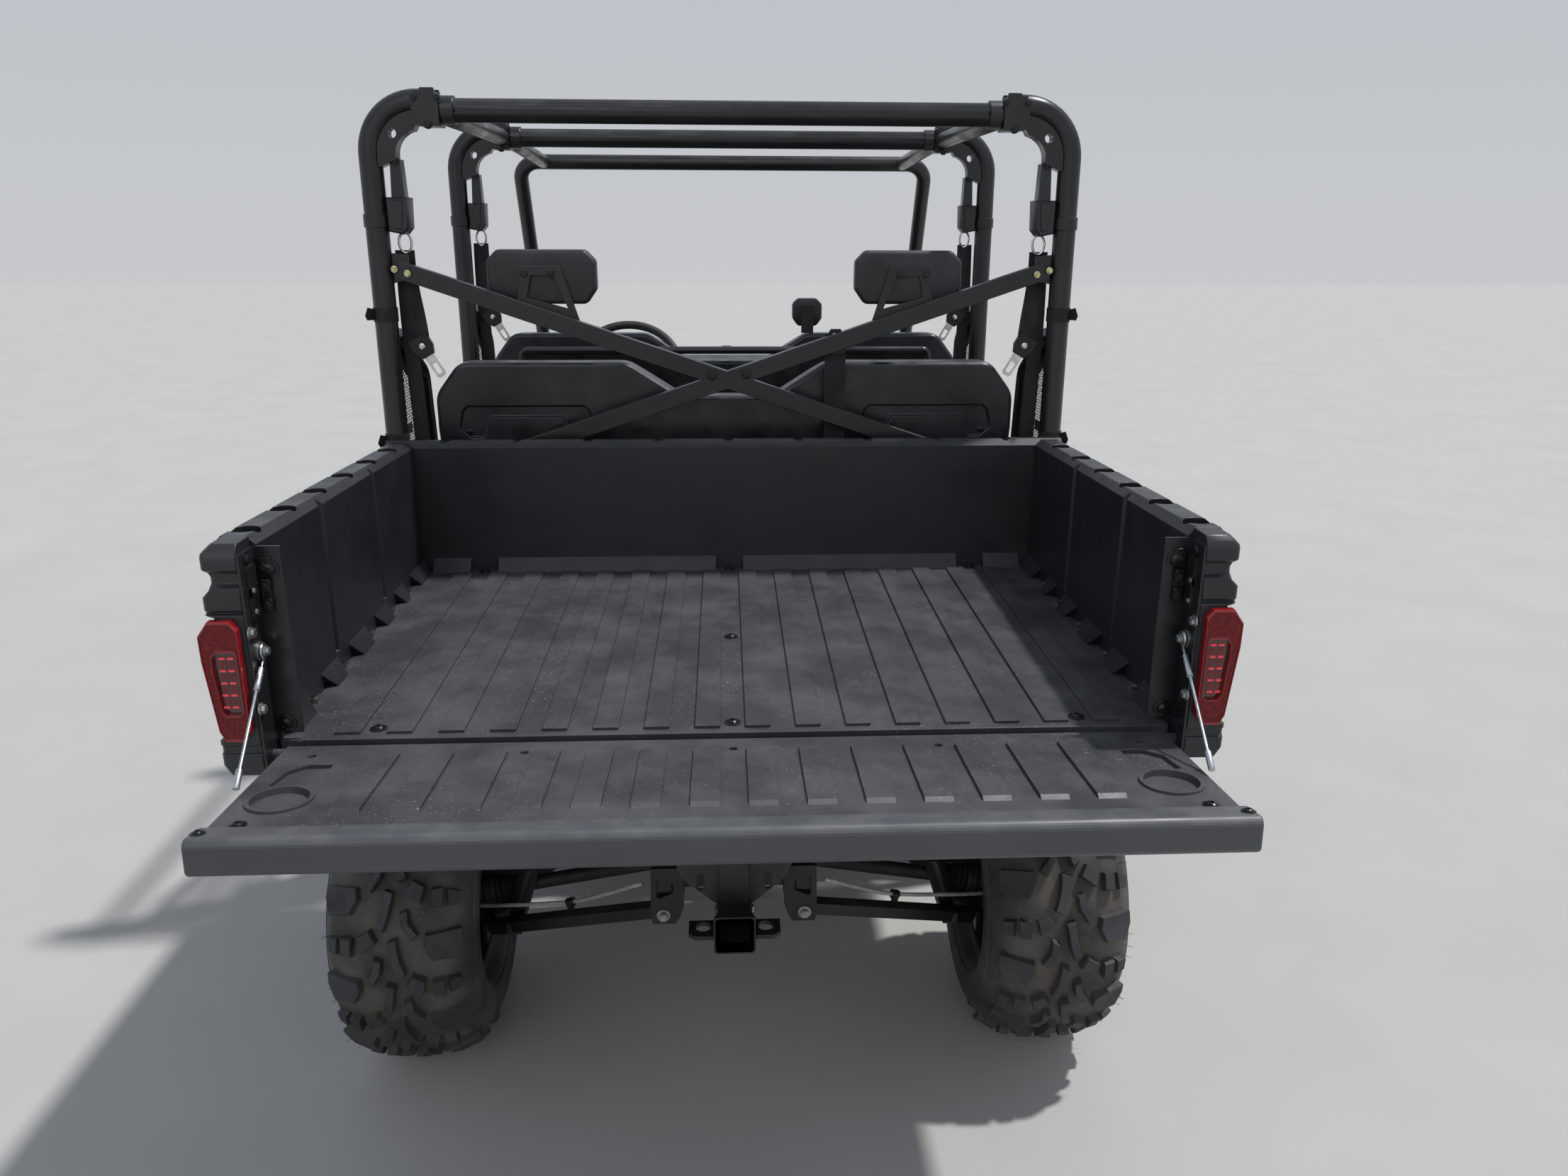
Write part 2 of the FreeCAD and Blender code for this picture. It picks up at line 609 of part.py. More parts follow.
def make_cross_braces():
    """Diagonal flat tubes behind the seats: one runs through, the other is cut and welded to it."""
    y = brace_station
    low = brace_low
    half = brace_half
    through = box_bar((half, y, v.brace_anchor_height), (-half, y, low), v.brace_width, v.brace_thickness)
    crossing = box_bar((-half, y, v.brace_anchor_height), (half, y, low), v.brace_width, v.brace_thickness)
    parts = [through, crossing]
    for side in (-1, 1):
        for height in (v.brace_anchor_height, low):
            plate = [(side * (half - 26), y, height + 30), (side * (leg - 6), y, height + 36),
                     (side * (leg - 6), y, height - 36), (side * (half - 26), y, height - 22)]
            parts.append(prism(plate, (0, 6, 0)))
    shape = fuse(parts)
    legs = [cylinder(tube + 0.3, (side * leg, v.rear_hoop_station, 900), (side * leg, v.rear_hoop_station, 1700))
            for side in (-1, 1)]
    return feature("cage_cross_braces", shape.cut(legs[0].fuse(legs[1])))


def make_side_guards():
    """Hip and shoulder guard tubes beside each bench, standing on the body's sill."""
    parts = []
    for station in (v.rear_hoop_station, v.mid_hoop_station):
        start = station + tube + 0.3
        points = [(leg, start, 1400), (leg, start + 70, 1400), (leg, start + 260, 1290), (leg, start + 330, 760)]
        parts += both(bent_tube(points, 50, 16))
    return feature("side_guards", Part.makeCompound(parts))


def make_side_nets():
    """Mesh nets beside each bench, between the hoop's leg and the guard tube."""
    parts = []
    for station in (v.rear_hoop_station, v.mid_hoop_station):
        y = station + 20
        x = leg + 16.3
        outline = [(x, y, 860), (x, y, 1398), (x, y + 75, 1398), (x, y + 262, 1288), (x, y + 318, 860)]
        parts += both(prism(outline, (3, 0, 0)))
    return feature("side_nets", Part.makeCompound(parts))


# Seats

def seat_back_outline(y):
    """Rear face outline of a bench back: two humps and a valley."""
    top, low = v.seat_top, v.cushion_top - v.cushion_thickness
    half = v.seat_half_width
    points = [(-half, low), (-half - 18, 1180), (-half - 14, top - 80), (-half + 30, top), (-245, top),
              (-200, top - 14), (-150, top - 64), (-105, top - 80), (105, top - 80), (150, top - 64),
              (200, top - 14), (245, top), (half - 30, top), (half + 14, top - 80), (half + 18, 1180), (half, low)]
    return [(x, y, z) for x, z in points]


def make_seat_back(label, station):
    """Bench back: a moulded shell behind a cushion, humped for the outer seats."""
    shell = prism(seat_back_outline(station), (0, 34, 0))
    slots = [block((x - 165, station - 1, 1176), (x + 165, station + 6, 1236)) for x in (-478, 478)]
    cushion = prism(seat_back_outline(station + 34), (0, v.seat_back_depth - 34, 0))
    return feature(label, fuse([shell.cut(slots[0].fuse(slots[1])), cushion]))


def cushion(low, high, roll=45):
    """A bench cushion with a rounded front edge."""
    solid = block(low, high)
    edges = [e for e in solid.Edges if abs(e.CenterOfMass.y - high[1]) < 1 and abs(e.CenterOfMass.z - high[2]) < 1]
    return solid.makeFillet(roll, edges)


rear_cushion_start = v.rear_seat_station + v.seat_back_depth + v.running_gap
front_cushion_start = v.front_seat_station + v.seat_back_depth + v.running_gap
cushion_depth = 440
cushion_low = v.cushion_top - v.cushion_thickness


def make_seats():
    """Backs and cushions of both benches."""
    make_seat_back("rear_seat_back", v.rear_seat_station)
    make_seat_back("front_seat_back", v.front_seat_station)
    half = v.seat_half_width
    for label, start in (("rear_seat_base", rear_cushion_start), ("front_seat_base", front_cushion_start)):
        feature(label, cushion((-half, start, cushion_low), (half, start + cushion_depth, v.cushion_top)))


pad_station = v.rear_hoop_station + v.brace_thickness / 2 + 8.3
HEADRESTS = (  # middle across, station of the rear face, middle height, half width, half height
    (-420, pad_station, 1534, 124, 60),
    (420, pad_station, 1534, 124, 60),
    (242, v.front_seat_station + 22, 1398, 44, 40),
)


def make_headrests():
    """Padded head rests with clipped corners."""
    pads = []
    for x, y, z, half, tall in HEADRESTS:
        cut = min(half, tall) * 0.4
        outline = [(x - half + cut, z + tall), (x + half - cut, z + tall), (x + half, z + tall - cut),
                   (x + half, z - tall + cut * 1.4), (x + half - cut, z - tall), (x - half + cut, z - tall),
                   (x - half, z - tall + cut * 1.4), (x - half, z + tall - cut)]
        pads.append(prism([(px, y, pz) for px, pz in outline], (0, 55, 0)))
    return feature("headrests", Part.makeCompound(pads))


def make_headrest_brackets():
    """Folded plates that carry the head rests, standing on the diagonals or on a cross bar."""
    plates = []
    slope = (v.brace_anchor_height - brace_low) / (2 * brace_half)

    def brace_height(x):
        return v.brace_anchor_height - slope * (brace_half - abs(x))

    for x, y, z, half, tall in HEADRESTS[:2]:
        out = 1 if x > 0 else -1
        outline = [(x + 60 * out, brace_height(x + 60 * out)), (x + 44 * out, z + 26), (x - 44 * out, z + 26),
                   (x - 90 * out, brace_height(x - 90 * out))]
        window = [(x + 34 * out, brace_height(x + 34 * out) + 32), (x + 24 * out, z + 4), (x - 28 * out, z + 4),
                  (x - 58 * out, brace_height(x - 58 * out) + 38)]
        plate = prism([(px, y - 8.3, pz) for px, pz in outline], (0, 8, 0))
        hole = prism([(px, y - 10, pz) for px, pz in window], (0, 20, 0))
        plates.append(plate.cut(hole))
    x, y, z, half, tall = HEADRESTS[2]
    plates.append(block((x - 18, y - 6.3, v.seat_top + 0.3), (x + 18, y - 0.3, z + tall - 16)))
    return feature("headrest_brackets", Part.makeCompound(plates))


def make_grab_bar():
    """Hand rail for the rear riders, behind the front bench."""
    y = v.front_seat_station - 40
    end = v.front_seat_station - v.running_gap
    points = [(-598, end, 1228), (-598, y, 1228), (-598, y, 1294), (598, y, 1294), (598, y, 1228), (598, end, 1228)]
    rail = bent_tube(points, 18, 11)
    tab = block((-14, y, 1284), (14, v.front_seat_station - 0.3, 1304))
    return feature("rear_grab_bar", rail.fuse(tab))


def make_seat_belts():
    """Belt reels in moulded covers on the hoops' legs, with the straps that hang from them."""
    parts = []
    for station in (v.rear_hoop_station, v.mid_hoop_station):
        y = station
        for side in (-1, 1):
            x0, x1 = leg - tube - 48, leg - tube - 0.3
            cover = prism([(x0 + 10, y - 20, 1780), (x1, y - 20, 1786), (x1, y - 20, 1640), (x0 + 22, y - 20, 1632),
                           (x0 + 6, y - 20, 1700)], (0, 46, 0))
            strap = block((x0 + 20, y + 22, 1405), (x0 + 46, y + 25, 1660))
            tongue = block((x0 + 14, y + 20, 1350), (x0 + 46, y + 28, 1405))
            parts.append(side_of(fuse([cover, strap, tongue]), side))
    strap_y = brace_station + v.brace_thickness / 2 + 0.3
    bracket = block((230, strap_y, 1352), (275, strap_y + 5, 1412))
    strap = block((228, strap_y + 5, 900), (277, strap_y + 8, 1404))
    parts.append(bracket.fuse(strap))
    return feature("seat_belts", Part.makeCompound(parts))


for label, station in (("cage_rear_hoop", v.rear_hoop_station), ("cage_mid_hoop", v.mid_hoop_station)):
    make_hoop(label, station, v.cross_tube_height)
make_front_hoop()
make_roof_rails()
make_cross_braces()
make_side_guards()
make_side_nets()
make_seats()
make_headrests()
make_headrest_brackets()
make_grab_bar()
make_seat_belts()


# Frame and hitch

rail_low = v.ground_clearance
rail_high = rail_low + v.rail_depth
shock_top = {"rear": subframe_low - 46, "front": 870}
shock_shift = -30
shaft_height = v.tyre_radius + 70
rack_radius = 9
rack_height = rail_high + 17
FRAME_END = v.front_end_station - 150
upper_rail_top = subframe_low - 6


def make_frame():
    """Welded steel frame: main rails, cross members, uprights and upper rails under the bed."""
    parts = []
    for side in (-1, 1):
        x = side * v.rail_half_gap
        parts.append(block((x - v.rail_width / 2, 150, rail_low), (x + v.rail_width / 2, FRAME_END, rail_high)))
        upper_x = side * 300
        parts.append(block((upper_x - 20, v.bed_pivot_station + 6, upper_rail_top - 40),
                           (upper_x + 20, 1040, upper_rail_top)))
        for station in (170, 610, 990):
            parts.append(box_bar((x, station, rail_high - 8), (upper_x, station, upper_rail_top - 10), 40, 40))
        # side rails that carry the cage's feet and the cab's sills
        sill = side * 640
        parts.append(block((sill - 20, 1000, v.sill_rail_top - 40), (sill + 20, 2860, v.sill_rail_top)))
        for station in (v.rear_hoop_station, v.mid_hoop_station):
            near, far = sorted((side * 630, side * (leg + 22)))
            parts.append(block((near, station - 22, 330), (far, station + 22, HOOP_BOTTOM - 8)))
        for station in (v.rear_hoop_station, 1440, v.mid_hoop_station, 2330, 2800):
            parts.append(block(tuple(min(a, b) for a, b in zip((x, station - 18, 322), (sill, station + 18, 358))),
                               tuple(max(a, b) for a, b in zip((x, station - 18, 322), (sill, station + 18, 358)))))
        # front uprights to the cowl, and the pillar's stand
        parts.append(box_bar((x, 3080, rail_high - 6), (side * 260, 3080, 1078), 36, 36))
        parts.append(box_bar((x, FRAME_END - 30, rail_high - 6), (side * 230, FRAME_END - 30, 780), 34, 34))
        parts.append(box_bar((side * 260, 3080, 985), (side * 230, FRAME_END - 30, 765), 30, 30, (1, 0, 0)))
        horn = side * 202
        parts.append(block((horn - 18, FRAME_END - 48, 440), (horn + 18, FRAME_END + 49.7, 500)))
        pillar_x = side * (leg - 38)
        parts.append(box_bar((side * 256, 3095, 950), (pillar_x, 3130, 1010), 34, 34))
        parts.append(block((pillar_x - 17, 3113, 990), (pillar_x + 17, 3147, pillar_foot[1] - 24)))
        tower = front_axle_station + shock_shift
        low, high = sorted((side * 236, side * 350))
        parts.append(block((low, tower - 20, shock_top["front"]), (high, tower + 20, shock_top["front"] + 30)))
    rack_member = front_axle_station + v.steering_arm
    for station in (165, 560, 960, 1440, 1900, 2400, 2860, 3060, rack_member, 3540, FRAME_END - 20):
        parts.append(block((-v.rail_half_gap, station - 18, rail_low + 8), (v.rail_half_gap, station + 18, rail_high - 8)))
    for station in (170, 1020):
        parts.append(block((-300, station - 18, upper_rail_top - 38), (300, station + 18, upper_rail_top - 2)))
    ears = []
    for x in (-300, 300):
        for gap in (-15, 15):
            ears.append(fuse([cylinder(22, (x + gap - 4, v.bed_pivot_station, v.bed_pivot_height),
                                       (x + gap + 4, v.bed_pivot_station, v.bed_pivot_height)),
                              block((x + gap - 4, v.bed_pivot_station - 20, v.bed_pivot_height - 20),
                                    (x + gap + 4, v.bed_pivot_station + 70, v.bed_pivot_height + 14))]))
        ears.append(cylinder(10, (x - 22, v.bed_pivot_station, v.bed_pivot_height),
                             (x + 22, v.bed_pivot_station, v.bed_pivot_height)))
    frame = fuse(parts)
    slots = [block((x - 11, v.bed_pivot_station - 50, v.bed_pivot_height - 50),
                   (x + 11, v.bed_pivot_station + 50, v.bed_pivot_height + 60)) for x in (-300, 300)]
    frame = fuse([frame.cut(slots[0].fuse(slots[1]))] + ears)
    foot = damper_point(0)
    pin = cylinder(8, (foot[0] - 24, foot[1], foot[2]), (foot[0] + 24, foot[1], foot[2]))
    lugs = [block((foot[0] + s - 3, foot[1] - 20, 345), (foot[0] + s + 3, foot[1] + 20, foot[2] + 18))
            for s in (-22, 22)]
    shelf = block((-v.rail_half_gap, foot[1] - 20, 322), (foot[0] + 26, foot[1] + 20, 349))
    rack_station = front_axle_station + v.steering_arm
    housing = fuse([cylinder(16, (-140, rack_station, rack_height), (140, rack_station, rack_height)),
                    block((-120, rack_station - 14, rail_high - 10), (-90, rack_station + 14, rack_height)),
                    block((90, rack_station - 14, rail_high - 10), (120, rack_station + 14, rack_height))])
    bore = cylinder(rack_radius + v.running_gap, (-150, rack_station, rack_height), (150, rack_station, rack_height))
    return feature("frame", fuse([frame, shelf, pin, housing] + lugs).cut(bore))


def make_hitch():
    """Drop post with the hitch socket, a plate with two shackle holes and its gussets."""
    half, hole = v.receiver_outer / 2, v.receiver_inner / 2
    z, mouth = v.receiver_height, v.receiver_station
    tube_ = block((-half, mouth, z - half), (half, 151.7, z + half))
    collar = block((-half - 6, mouth, z - half - 6), (half + 6, mouth + 12, z + half + 6))
    plate = prism([(-110, 100, z - 8), (-78, 100, z + 24), (78, 100, z + 24), (110, 100, z - 8), (84, 100, z - 40),
                   (-84, 100, z - 40)], (0, 12, 0))
    post = block((-19, 100, z + 20), (19, 151.7, upper_rail_top - 6))
    gussets = both(prism([(15, 112, z + 14), (128, 112, 552), (112, 112, 572), (15, 112, z + 44)], (0, 10, 0)))
    solid = fuse([tube_, collar, plate, post] + gussets)
    socket = block((-hole, mouth - 1, z - hole), (hole, 200, z + hole))
    shackles = [cylinder(13, (x, 90, z - 8), (x, 130, z - 8)) for x in (-70, 70)]
    solid = solid.cut(socket.multiFuse(shackles))
    return feature("hitch", solid)


make_frame()
make_hitch()


# Suspension, drive line and engine

knuckle_offset = {"rear": 554, "front": v.kingpin_offset}
pivot_reach = {"rear": 114, "front": 140}
axles = {"rear": v.rear_axle_station, "front": front_axle_station}
ball_low, ball_high = 246, 380
perch_top = 290.6
strut_radius = 11
stud_radius = 7


def make_arms(end):
    """Lower square tube arms and upper round arms of one axle, with their pivot brackets."""
    station = axles[end]
    outer = knuckle_offset[end]
    inner = v.rail_half_gap + v.rail_width / 2
    parts = []
    for offset in (-pivot_reach[end], pivot_reach[end]):
        near = station + offset
        parts.append(box_bar((inner + 12, near, 330), (outer - 10, station + offset * 0.1, ball_low), 32, 24))
        parts.append(cylinder(13, (inner + 42, near, 440), (outer - 10, station + offset * 0.1, ball_high)))
        bracket = [(inner + 0.3, near - 18, rail_low + 4), (inner + 18, near - 18, rail_low + 20),
                   (inner + 46, near - 18, 470), (inner + 0.3, near - 18, 470)]
        parts.append(prism(bracket, (0, 36, 0)))
    for z in (ball_low, ball_high):
        parts.append(cylinder(20, (outer, station, z - 8), (outer, station, z + 8)))
    perch = outer - 106
    parts.append(block((perch - 20, station - 84, 262), (perch + 20, station + 45, perch_top)))
    arm = fuse(parts)
    for z in (ball_low, ball_high):
        arm = arm.cut(cylinder(stud_radius + v.running_gap, (outer, station, z - 20), (outer, station, z + 20)))
    return feature(f"{end}_arms", Part.makeCompound(both(arm)))


def knuckle_shape(end):
    """Upright with its ball studs, brake calliper and hub stub, on the right-hand side."""
    station = axles[end]
    x = knuckle_offset[end]
    r = v.tyre_radius
    low, high = ball_low + 22, ball_high - 22
    body = block((x - 14, station - 28, low), (x + 14, station + 28, high))
    studs = [cylinder(stud_radius, (x, station, ball_low - 6), (x, station, low + 4)),
             cylinder(stud_radius, (x, station, high - 4), (x, station, ball_high + 6))]
    stub = cylinder(30, (x, station, r), (x + 32, station, r))
    calliper = block((x - 6, station - 108, r + 12), (x + 52, station - 66, r + 40))
    disc_gap = block((x + 27, station - 101, r), (x + 43, station - 50, r + 60))
    calliper = calliper.cut(disc_gap)
    carrier = block((x - 6, station - 70, r + 12), (x + 10, station, r + 36))
    return fuse([body, stub, calliper, carrier] + studs)


def make_rear_knuckles():
    """Bearing carriers of the rear wheels."""
    return feature("rear_knuckles", Part.makeCompound(both(knuckle_shape("rear"))))


def make_front_knuckle(name, side):
    """Steered upright with its steering arm."""
    x = knuckle_offset["front"]
    station = front_axle_station
    low = v.tyre_radius - 36
    reach = v.steering_arm + 13
    outline = [(x - 12, station + 20, low), (x + 12, station + 20, low), (x + 8, station + reach, low),
               (x - 8, station + reach, low)]
    arm = prism(outline, (0, 0, 18))
    shape = knuckle_shape("front").fuse(arm)
    return feature(f"front_knuckle_{name}", side_of(shape, side))


def make_shocks():
    """Coil-over struts, each a spring sleeve round its damper."""
    parts = []
    for end in ("rear", "front"):
        station = axles[end] + shock_shift
        outer = knuckle_offset[end] - 106
        across = outer - 306
        lean = math.atan(across / (shock_top[end] - perch_top))
        rise = strut_radius * math.sin(lean) + v.running_gap
        low = (outer, station, perch_top + rise)
        high = (306, station, shock_top[end] - rise)
        axis = Vector(*high) - Vector(*low)
        unit = axis / axis.Length
        at = [Vector(*low) + unit * (axis.Length * share) for share in (0, 0.36, 0.4, 0.9, 0.94, 1)]
        bar = cylinder(strut_radius, at[0], at[5])
        coil = cylinder(34, at[2], at[3])
        seats = [cylinder(38, at[1], at[2]), cylinder(38, at[3], at[4])]
        parts += both(fuse([bar, coil] + seats))
    return feature("shocks", Part.makeCompound(parts))


def make_drive():
    """Gear cases at both axles, half shafts with their boots, and the propeller shaft."""
    cases = []
    shafts = []
    for end, width, radius, inward, gap in (("rear", 105, 88, 1, 20), ("front", 88, 68, -1, 36)):
        station = axles[end]
        case = cylinder(radius, (-width, station, shaft_height), (width, station, shaft_height))
        nose = cylinder(40, (0, station + inward * 50, shaft_height), (0, station + inward * 150, shaft_height))
        cases.append(fuse([case, nose]))
        start = (width + 0.3, station, shaft_height)
        finish = (knuckle_offset[end] - gap, station, v.tyre_radius)
        along = Vector(*finish) - Vector(*start)
        inner_boot = cylinder(36, Vector(*start) + along * 0.0135, Vector(*start) + along * 0.12)
        outer_boot = cylinder(34, Vector(*start) + along * 0.9, finish)
        shafts += both(fuse([cylinder(15, Vector(*start) + along * 0.01, finish), inner_boot, outer_boot]))
    feature("gear_cases", Part.makeCompound(cases))
    propeller = cylinder(20, (0, v.rear_axle_station + 150.3, shaft_height),
                         (0, front_axle_station - 150.3, shaft_height))
    feature("drive_shafts", Part.makeCompound(shafts + [propeller]))


def make_engine():
    """Engine and transmission as one block between the main rails, under the rear bench."""
    feet = both(block((60, 1090, rail_high + 0.3), (212, 1380, shaft_height + 40)))
    feature("engine", fuse([block((-250, 1045, shaft_height + 30), (250, 1430, 740))] + feet))
    silencer = cylinder(85, (-210, 850, 640), (210, 850, 640))
    pipe = cylinder(22, (150, 850, 640), (150, 1044.7, 640))
    tail = cylinder(20, (-150, 850, 640), (-150, 620, 640))
    feature("silencer", fuse([silencer, pipe, tail]))


for end in ("rear", "front"):
    make_arms(end)
make_rear_knuckles()
for name, side in SIDES:
    make_front_knuckle(name, side)
make_shocks()
make_drive()
make_engine()


# Wheels

def make_tyre(label, side, offset, station, width):
    """One tyre: carcass with rounded shoulders and a bead on each side."""
    r, half = v.tyre_radius, width / 2
    bead = v.rim_radius + 0.3
    seat = v.rim_width / 2 - v.rim_wall - 0.3
    outer = [(seat, bead), (seat, bead + 17), (half - 10, bead + 30), (half, r - 78), (half - 14, r - 18),
             (half - 30, r)]
    inner = [(seat - 18, bead), (seat - 18, bead + 24), (half - 26, bead + 50), (half - 24, r - 44)]
    profile = outer + [(-x, z) for x, z in outer[::-1]] + [(-x, z) for x, z in inner] + inner[::-1]
    feature(label, turned(profile, (side * offset, station, r)))


def make_rim(label, side, offset, station, hub_x):
    """Steel rim with its centre disc, hub and brake disc on the inner side."""
    r = v.tyre_radius
    half, bead, t = v.rim_width / 2, v.rim_radius, v.rim_wall
    barrel = [(-half, bead + 16), (-half, bead - 4), (-half + 24, bead - 4), (-half + 34, bead - 22),
              (half - 34, bead - 22), (half - 24, bead - 4), (half, bead - 4), (half, bead + 16),
              (half - t, bead + 16), (half - t, bead), (half - 23, bead), (half - 36, bead - 18),
              (-half + 36, bead - 18), (-half + 23, bead), (-half + t, bead), (-half + t, bead + 16)]
    shape = turned(barrel, (offset, station, r))
    disc = turned([(hub_x - offset, 0), (hub_x - offset, 62), (30, 96), (30, bead - 20), (36, bead - 20),
                   (36, 92), (hub_x - offset + 8, 58), (hub_x - offset + 8, 0)], (offset, station, r))
    slots = []
    for k in range(8):
        angle = math.tau * (k + 0.5) / 8
        slots.append(cylinder(15, (offset - 60, station + 96 * math.cos(angle), r + 96 * math.sin(angle)),
                              (offset + 60, station + 96 * math.cos(angle), r + 96 * math.sin(angle))))
    disc = disc.cut(slots[0].multiFuse(slots[1:]))
    hub = cylinder(v.hub_radius, (hub_x - 12, station, r), (hub_x + 26, station, r))
    brake = cylinder(94, (hub_x - 12, station, r), (hub_x - 7, station, r))
    cap = cylinder(30, (hub_x + 26, station, r), (hub_x + 34, station, r))
    feature(label, side_of(fuse([shape, disc, hub, brake, cap]), side))


for end, offset, width in (("rear", v.rear_wheel_offset, v.rear_tyre_width),
                           ("front", v.front_wheel_offset, v.front_tyre_width)):
    for name, side in SIDES:
        make_tyre(f"{end}_tyre_{name}", side, offset, axles[end], width)
        make_rim(f"{end}_rim_{name}", side, offset, axles[end], knuckle_offset[end] + 44.3)


# Cab and body panels

sill_outer = 722


floor_low = v.sill_rail_top + v.running_gap
toe_station = 2960


def make_cab_floor():
    """Floor moulding with a shaft tunnel, a raised toe board and the risers under both benches."""
    t = v.floor_thickness
    low = floor_low + t
    side = sill_outer - v.running_gap
    toe = toe_station
    profile = [(1050, low), (toe, low), (3056, low + 150), (3056, low + 150 - t * 1.6), (toe + 4, low - t),
               (1050, low - t)]
    floor = prism([(-side, y, z) for y, z in profile], (2 * side, 0, 0))
    keep_out = both(block((330, 2885, 300), (900, 3200, 800)))
    floor = floor.cut(keep_out[0].fuse(keep_out[1]))
    tunnel_top = shaft_height + 32
    tunnel = block((-46, 1300, low - t), (46, toe + 60, tunnel_top))
    bore = block((-40, 1299, low - t - 10), (40, toe + 120, tunnel_top - t))
    sheets = []
    half = v.seat_half_width - 25
    top = cushion_low - v.running_gap
    for start, station in ((rear_cushion_start, v.rear_seat_station), (front_cushion_start, v.front_seat_station)):
        front = start + cushion_depth - 40
        riser = block((-half, station, low - 1), (half, front, top))
        inner = block((-half + 6, station - 1, low - 2), (half - 6, front - 6, top - 6))
        sheets.append(riser.cut(inner))
    hole = block((-262, 1030, low - 20), (262, 1442, 760))
    return feature("cab_floor", fuse([floor, tunnel] + sheets).cut(hole.fuse(bore)))


def make_side_panels():
    """Body sides: rear quarter, door sill and front quarter behind the wheel arch."""
    x = sill_outer
    low = v.sill_rail_top + v.running_gap
    outline = [(1056, low), (2880, low), (2870, 560), (2800, 640), (2330, 560), (2180, 520), (1980, 560), (1900, 760),
               (1790, 780), (1700, 560), (1560, 520), (1330, 560), (1180, 850), (1100, 900), (1056, 900)]
    panel = prism([(x, y, z) for y, z in outline], (20, 0, 0))
    return feature("side_panels", Part.makeCompound(both(panel)))


hood_back, hood_front = 3070, 3790
hinge = (3086, 1100)


def hood_section(station, half, edge, crown):
    """Hood's section at one station, from its side edges to its crown."""
    t = 5
    points = [(-half, edge), (-half + 60, edge + 26), (-half * 0.5, crown), (half * 0.5, crown), (half - 60, edge + 26),
              (half, edge), (half - t, edge - t), (half - 63, edge + 20), (half * 0.5, crown - t),
              (-half * 0.5, crown - t), (-half + 63, edge + 20), (-half + t, edge - t)]
    corners = [Vector(x, station, z) for x, z in points]
    return Part.makePolygon(corners + corners[:1])


def make_hood():
    """Hood shell, lofted over four sections, with its two hinge eyes under the rear edge."""
    sections = [hood_section(hood_back + 30, 520, 1078, 1132), hood_section(3350, 505, 1052, 1110),
                hood_section(3620, 470, 1010, 1060), hood_section(hood_front - 20, 430, 950, 985)]
    shell = Part.makeLoft(sections, True, True)
    eyes = []
    for x in (-350, 350):
        eyes.append(cylinder(9, (x - 8, *hinge), (x + 8, *hinge)))
        eyes.append(block((x - 8, hinge[0], hinge[1] - 8), (x + 8, hood_back + 46, hinge[1] + 17)))
    hole = cylinder(5.3, (-400, *hinge), (400, *hinge))
    return feature("hood", fuse([shell] + eyes).cut(hole))


def make_dash():
    """Dash moulding across the cowl, with its bin, the hood's hinge pins and the steering column."""
    half = 690
    profile = [(2760, 905), (2740, 1010), (2790, 1085), (2900, 1128), (3061.7, 1138), (3061.7, 1050),
               (2960, 860)]
    dash = prism([(-half, y, z) for y, z in profile], (2 * half, 0, 0))
    bin_ = block((230, 2700, 930), (600, 2860, 1040))
    cowl = prism([(v.steering_offset - 50, 2700, 830), (v.steering_offset - 50, 2760, 800),
                  (v.steering_offset - 50, 2850, 900), (v.steering_offset - 50, 2760, 930)], (100, 0, 0))
    dash = fuse([dash.cut(bin_), cowl])
    pins = []
    for x in (-350, 350):
        pins.append(cylinder(5, (x - 20, *hinge), (x + 20, *hinge)))
        for s in (-14, 14):
            pins.append(block((x + s - 4, 3040, hinge[1] - 30), (x + s + 4, hinge[0] + 10, hinge[1] + 8)))
    start, end = column_start, column_end
    column = cylinder(24, start, end)
    return feature("dash", fuse([dash, column] + pins))


wheel_middle = Vector(v.steering_offset, 2356, 1168)
wheel_lean = math.radians(38)
wheel_axis = Vector(0, -math.cos(wheel_lean), math.sin(wheel_lean))
column_start = tuple(wheel_middle - wheel_axis * 60.3)
column_end = tuple(wheel_middle - wheel_axis * 520)


def make_steering_wheel():
    """Three-spoked steering wheel square to its column."""
    rim = Part.makeTorus(v.steering_wheel_radius, v.steering_grip, wheel_middle, wheel_axis)
    hub = cylinder(46, tuple(wheel_middle - wheel_axis * 60), tuple(wheel_middle - wheel_axis * 8))
    parts = [rim, hub]
    across = Vector(1, 0, 0)
    down = wheel_axis.cross(across)
    for angle in (0, 180, 270):
        out = across * math.cos(math.radians(angle)) + down * math.sin(math.radians(angle))
        parts.append(box_bar(tuple(wheel_middle - wheel_axis * 22 + out * 30),
                             tuple(wheel_middle + out * (v.steering_wheel_radius - 4)), 34, 14, tuple(wheel_axis)))
    return feature("steering_wheel", fuse(parts))


def make_steering_rack():
    """Rack bar and the tie rods that come down to just above the steering arms."""
    y = front_axle_station + v.steering_arm
    x = knuckle_offset["front"]
    low = v.tyre_radius - 36 + 18 + 5.5
    bar = cylinder(rack_radius, (-268, y, rack_height), (268, y, rack_height))
    rod = fuse([cylinder(rack_radius, (260, y, rack_height), (x, y, low + 12)), cylinder(12, (x, y, low), (x, y, low + 24))])
    ends = both(rod)
    return feature("steering_rack", fuse([bar] + ends))


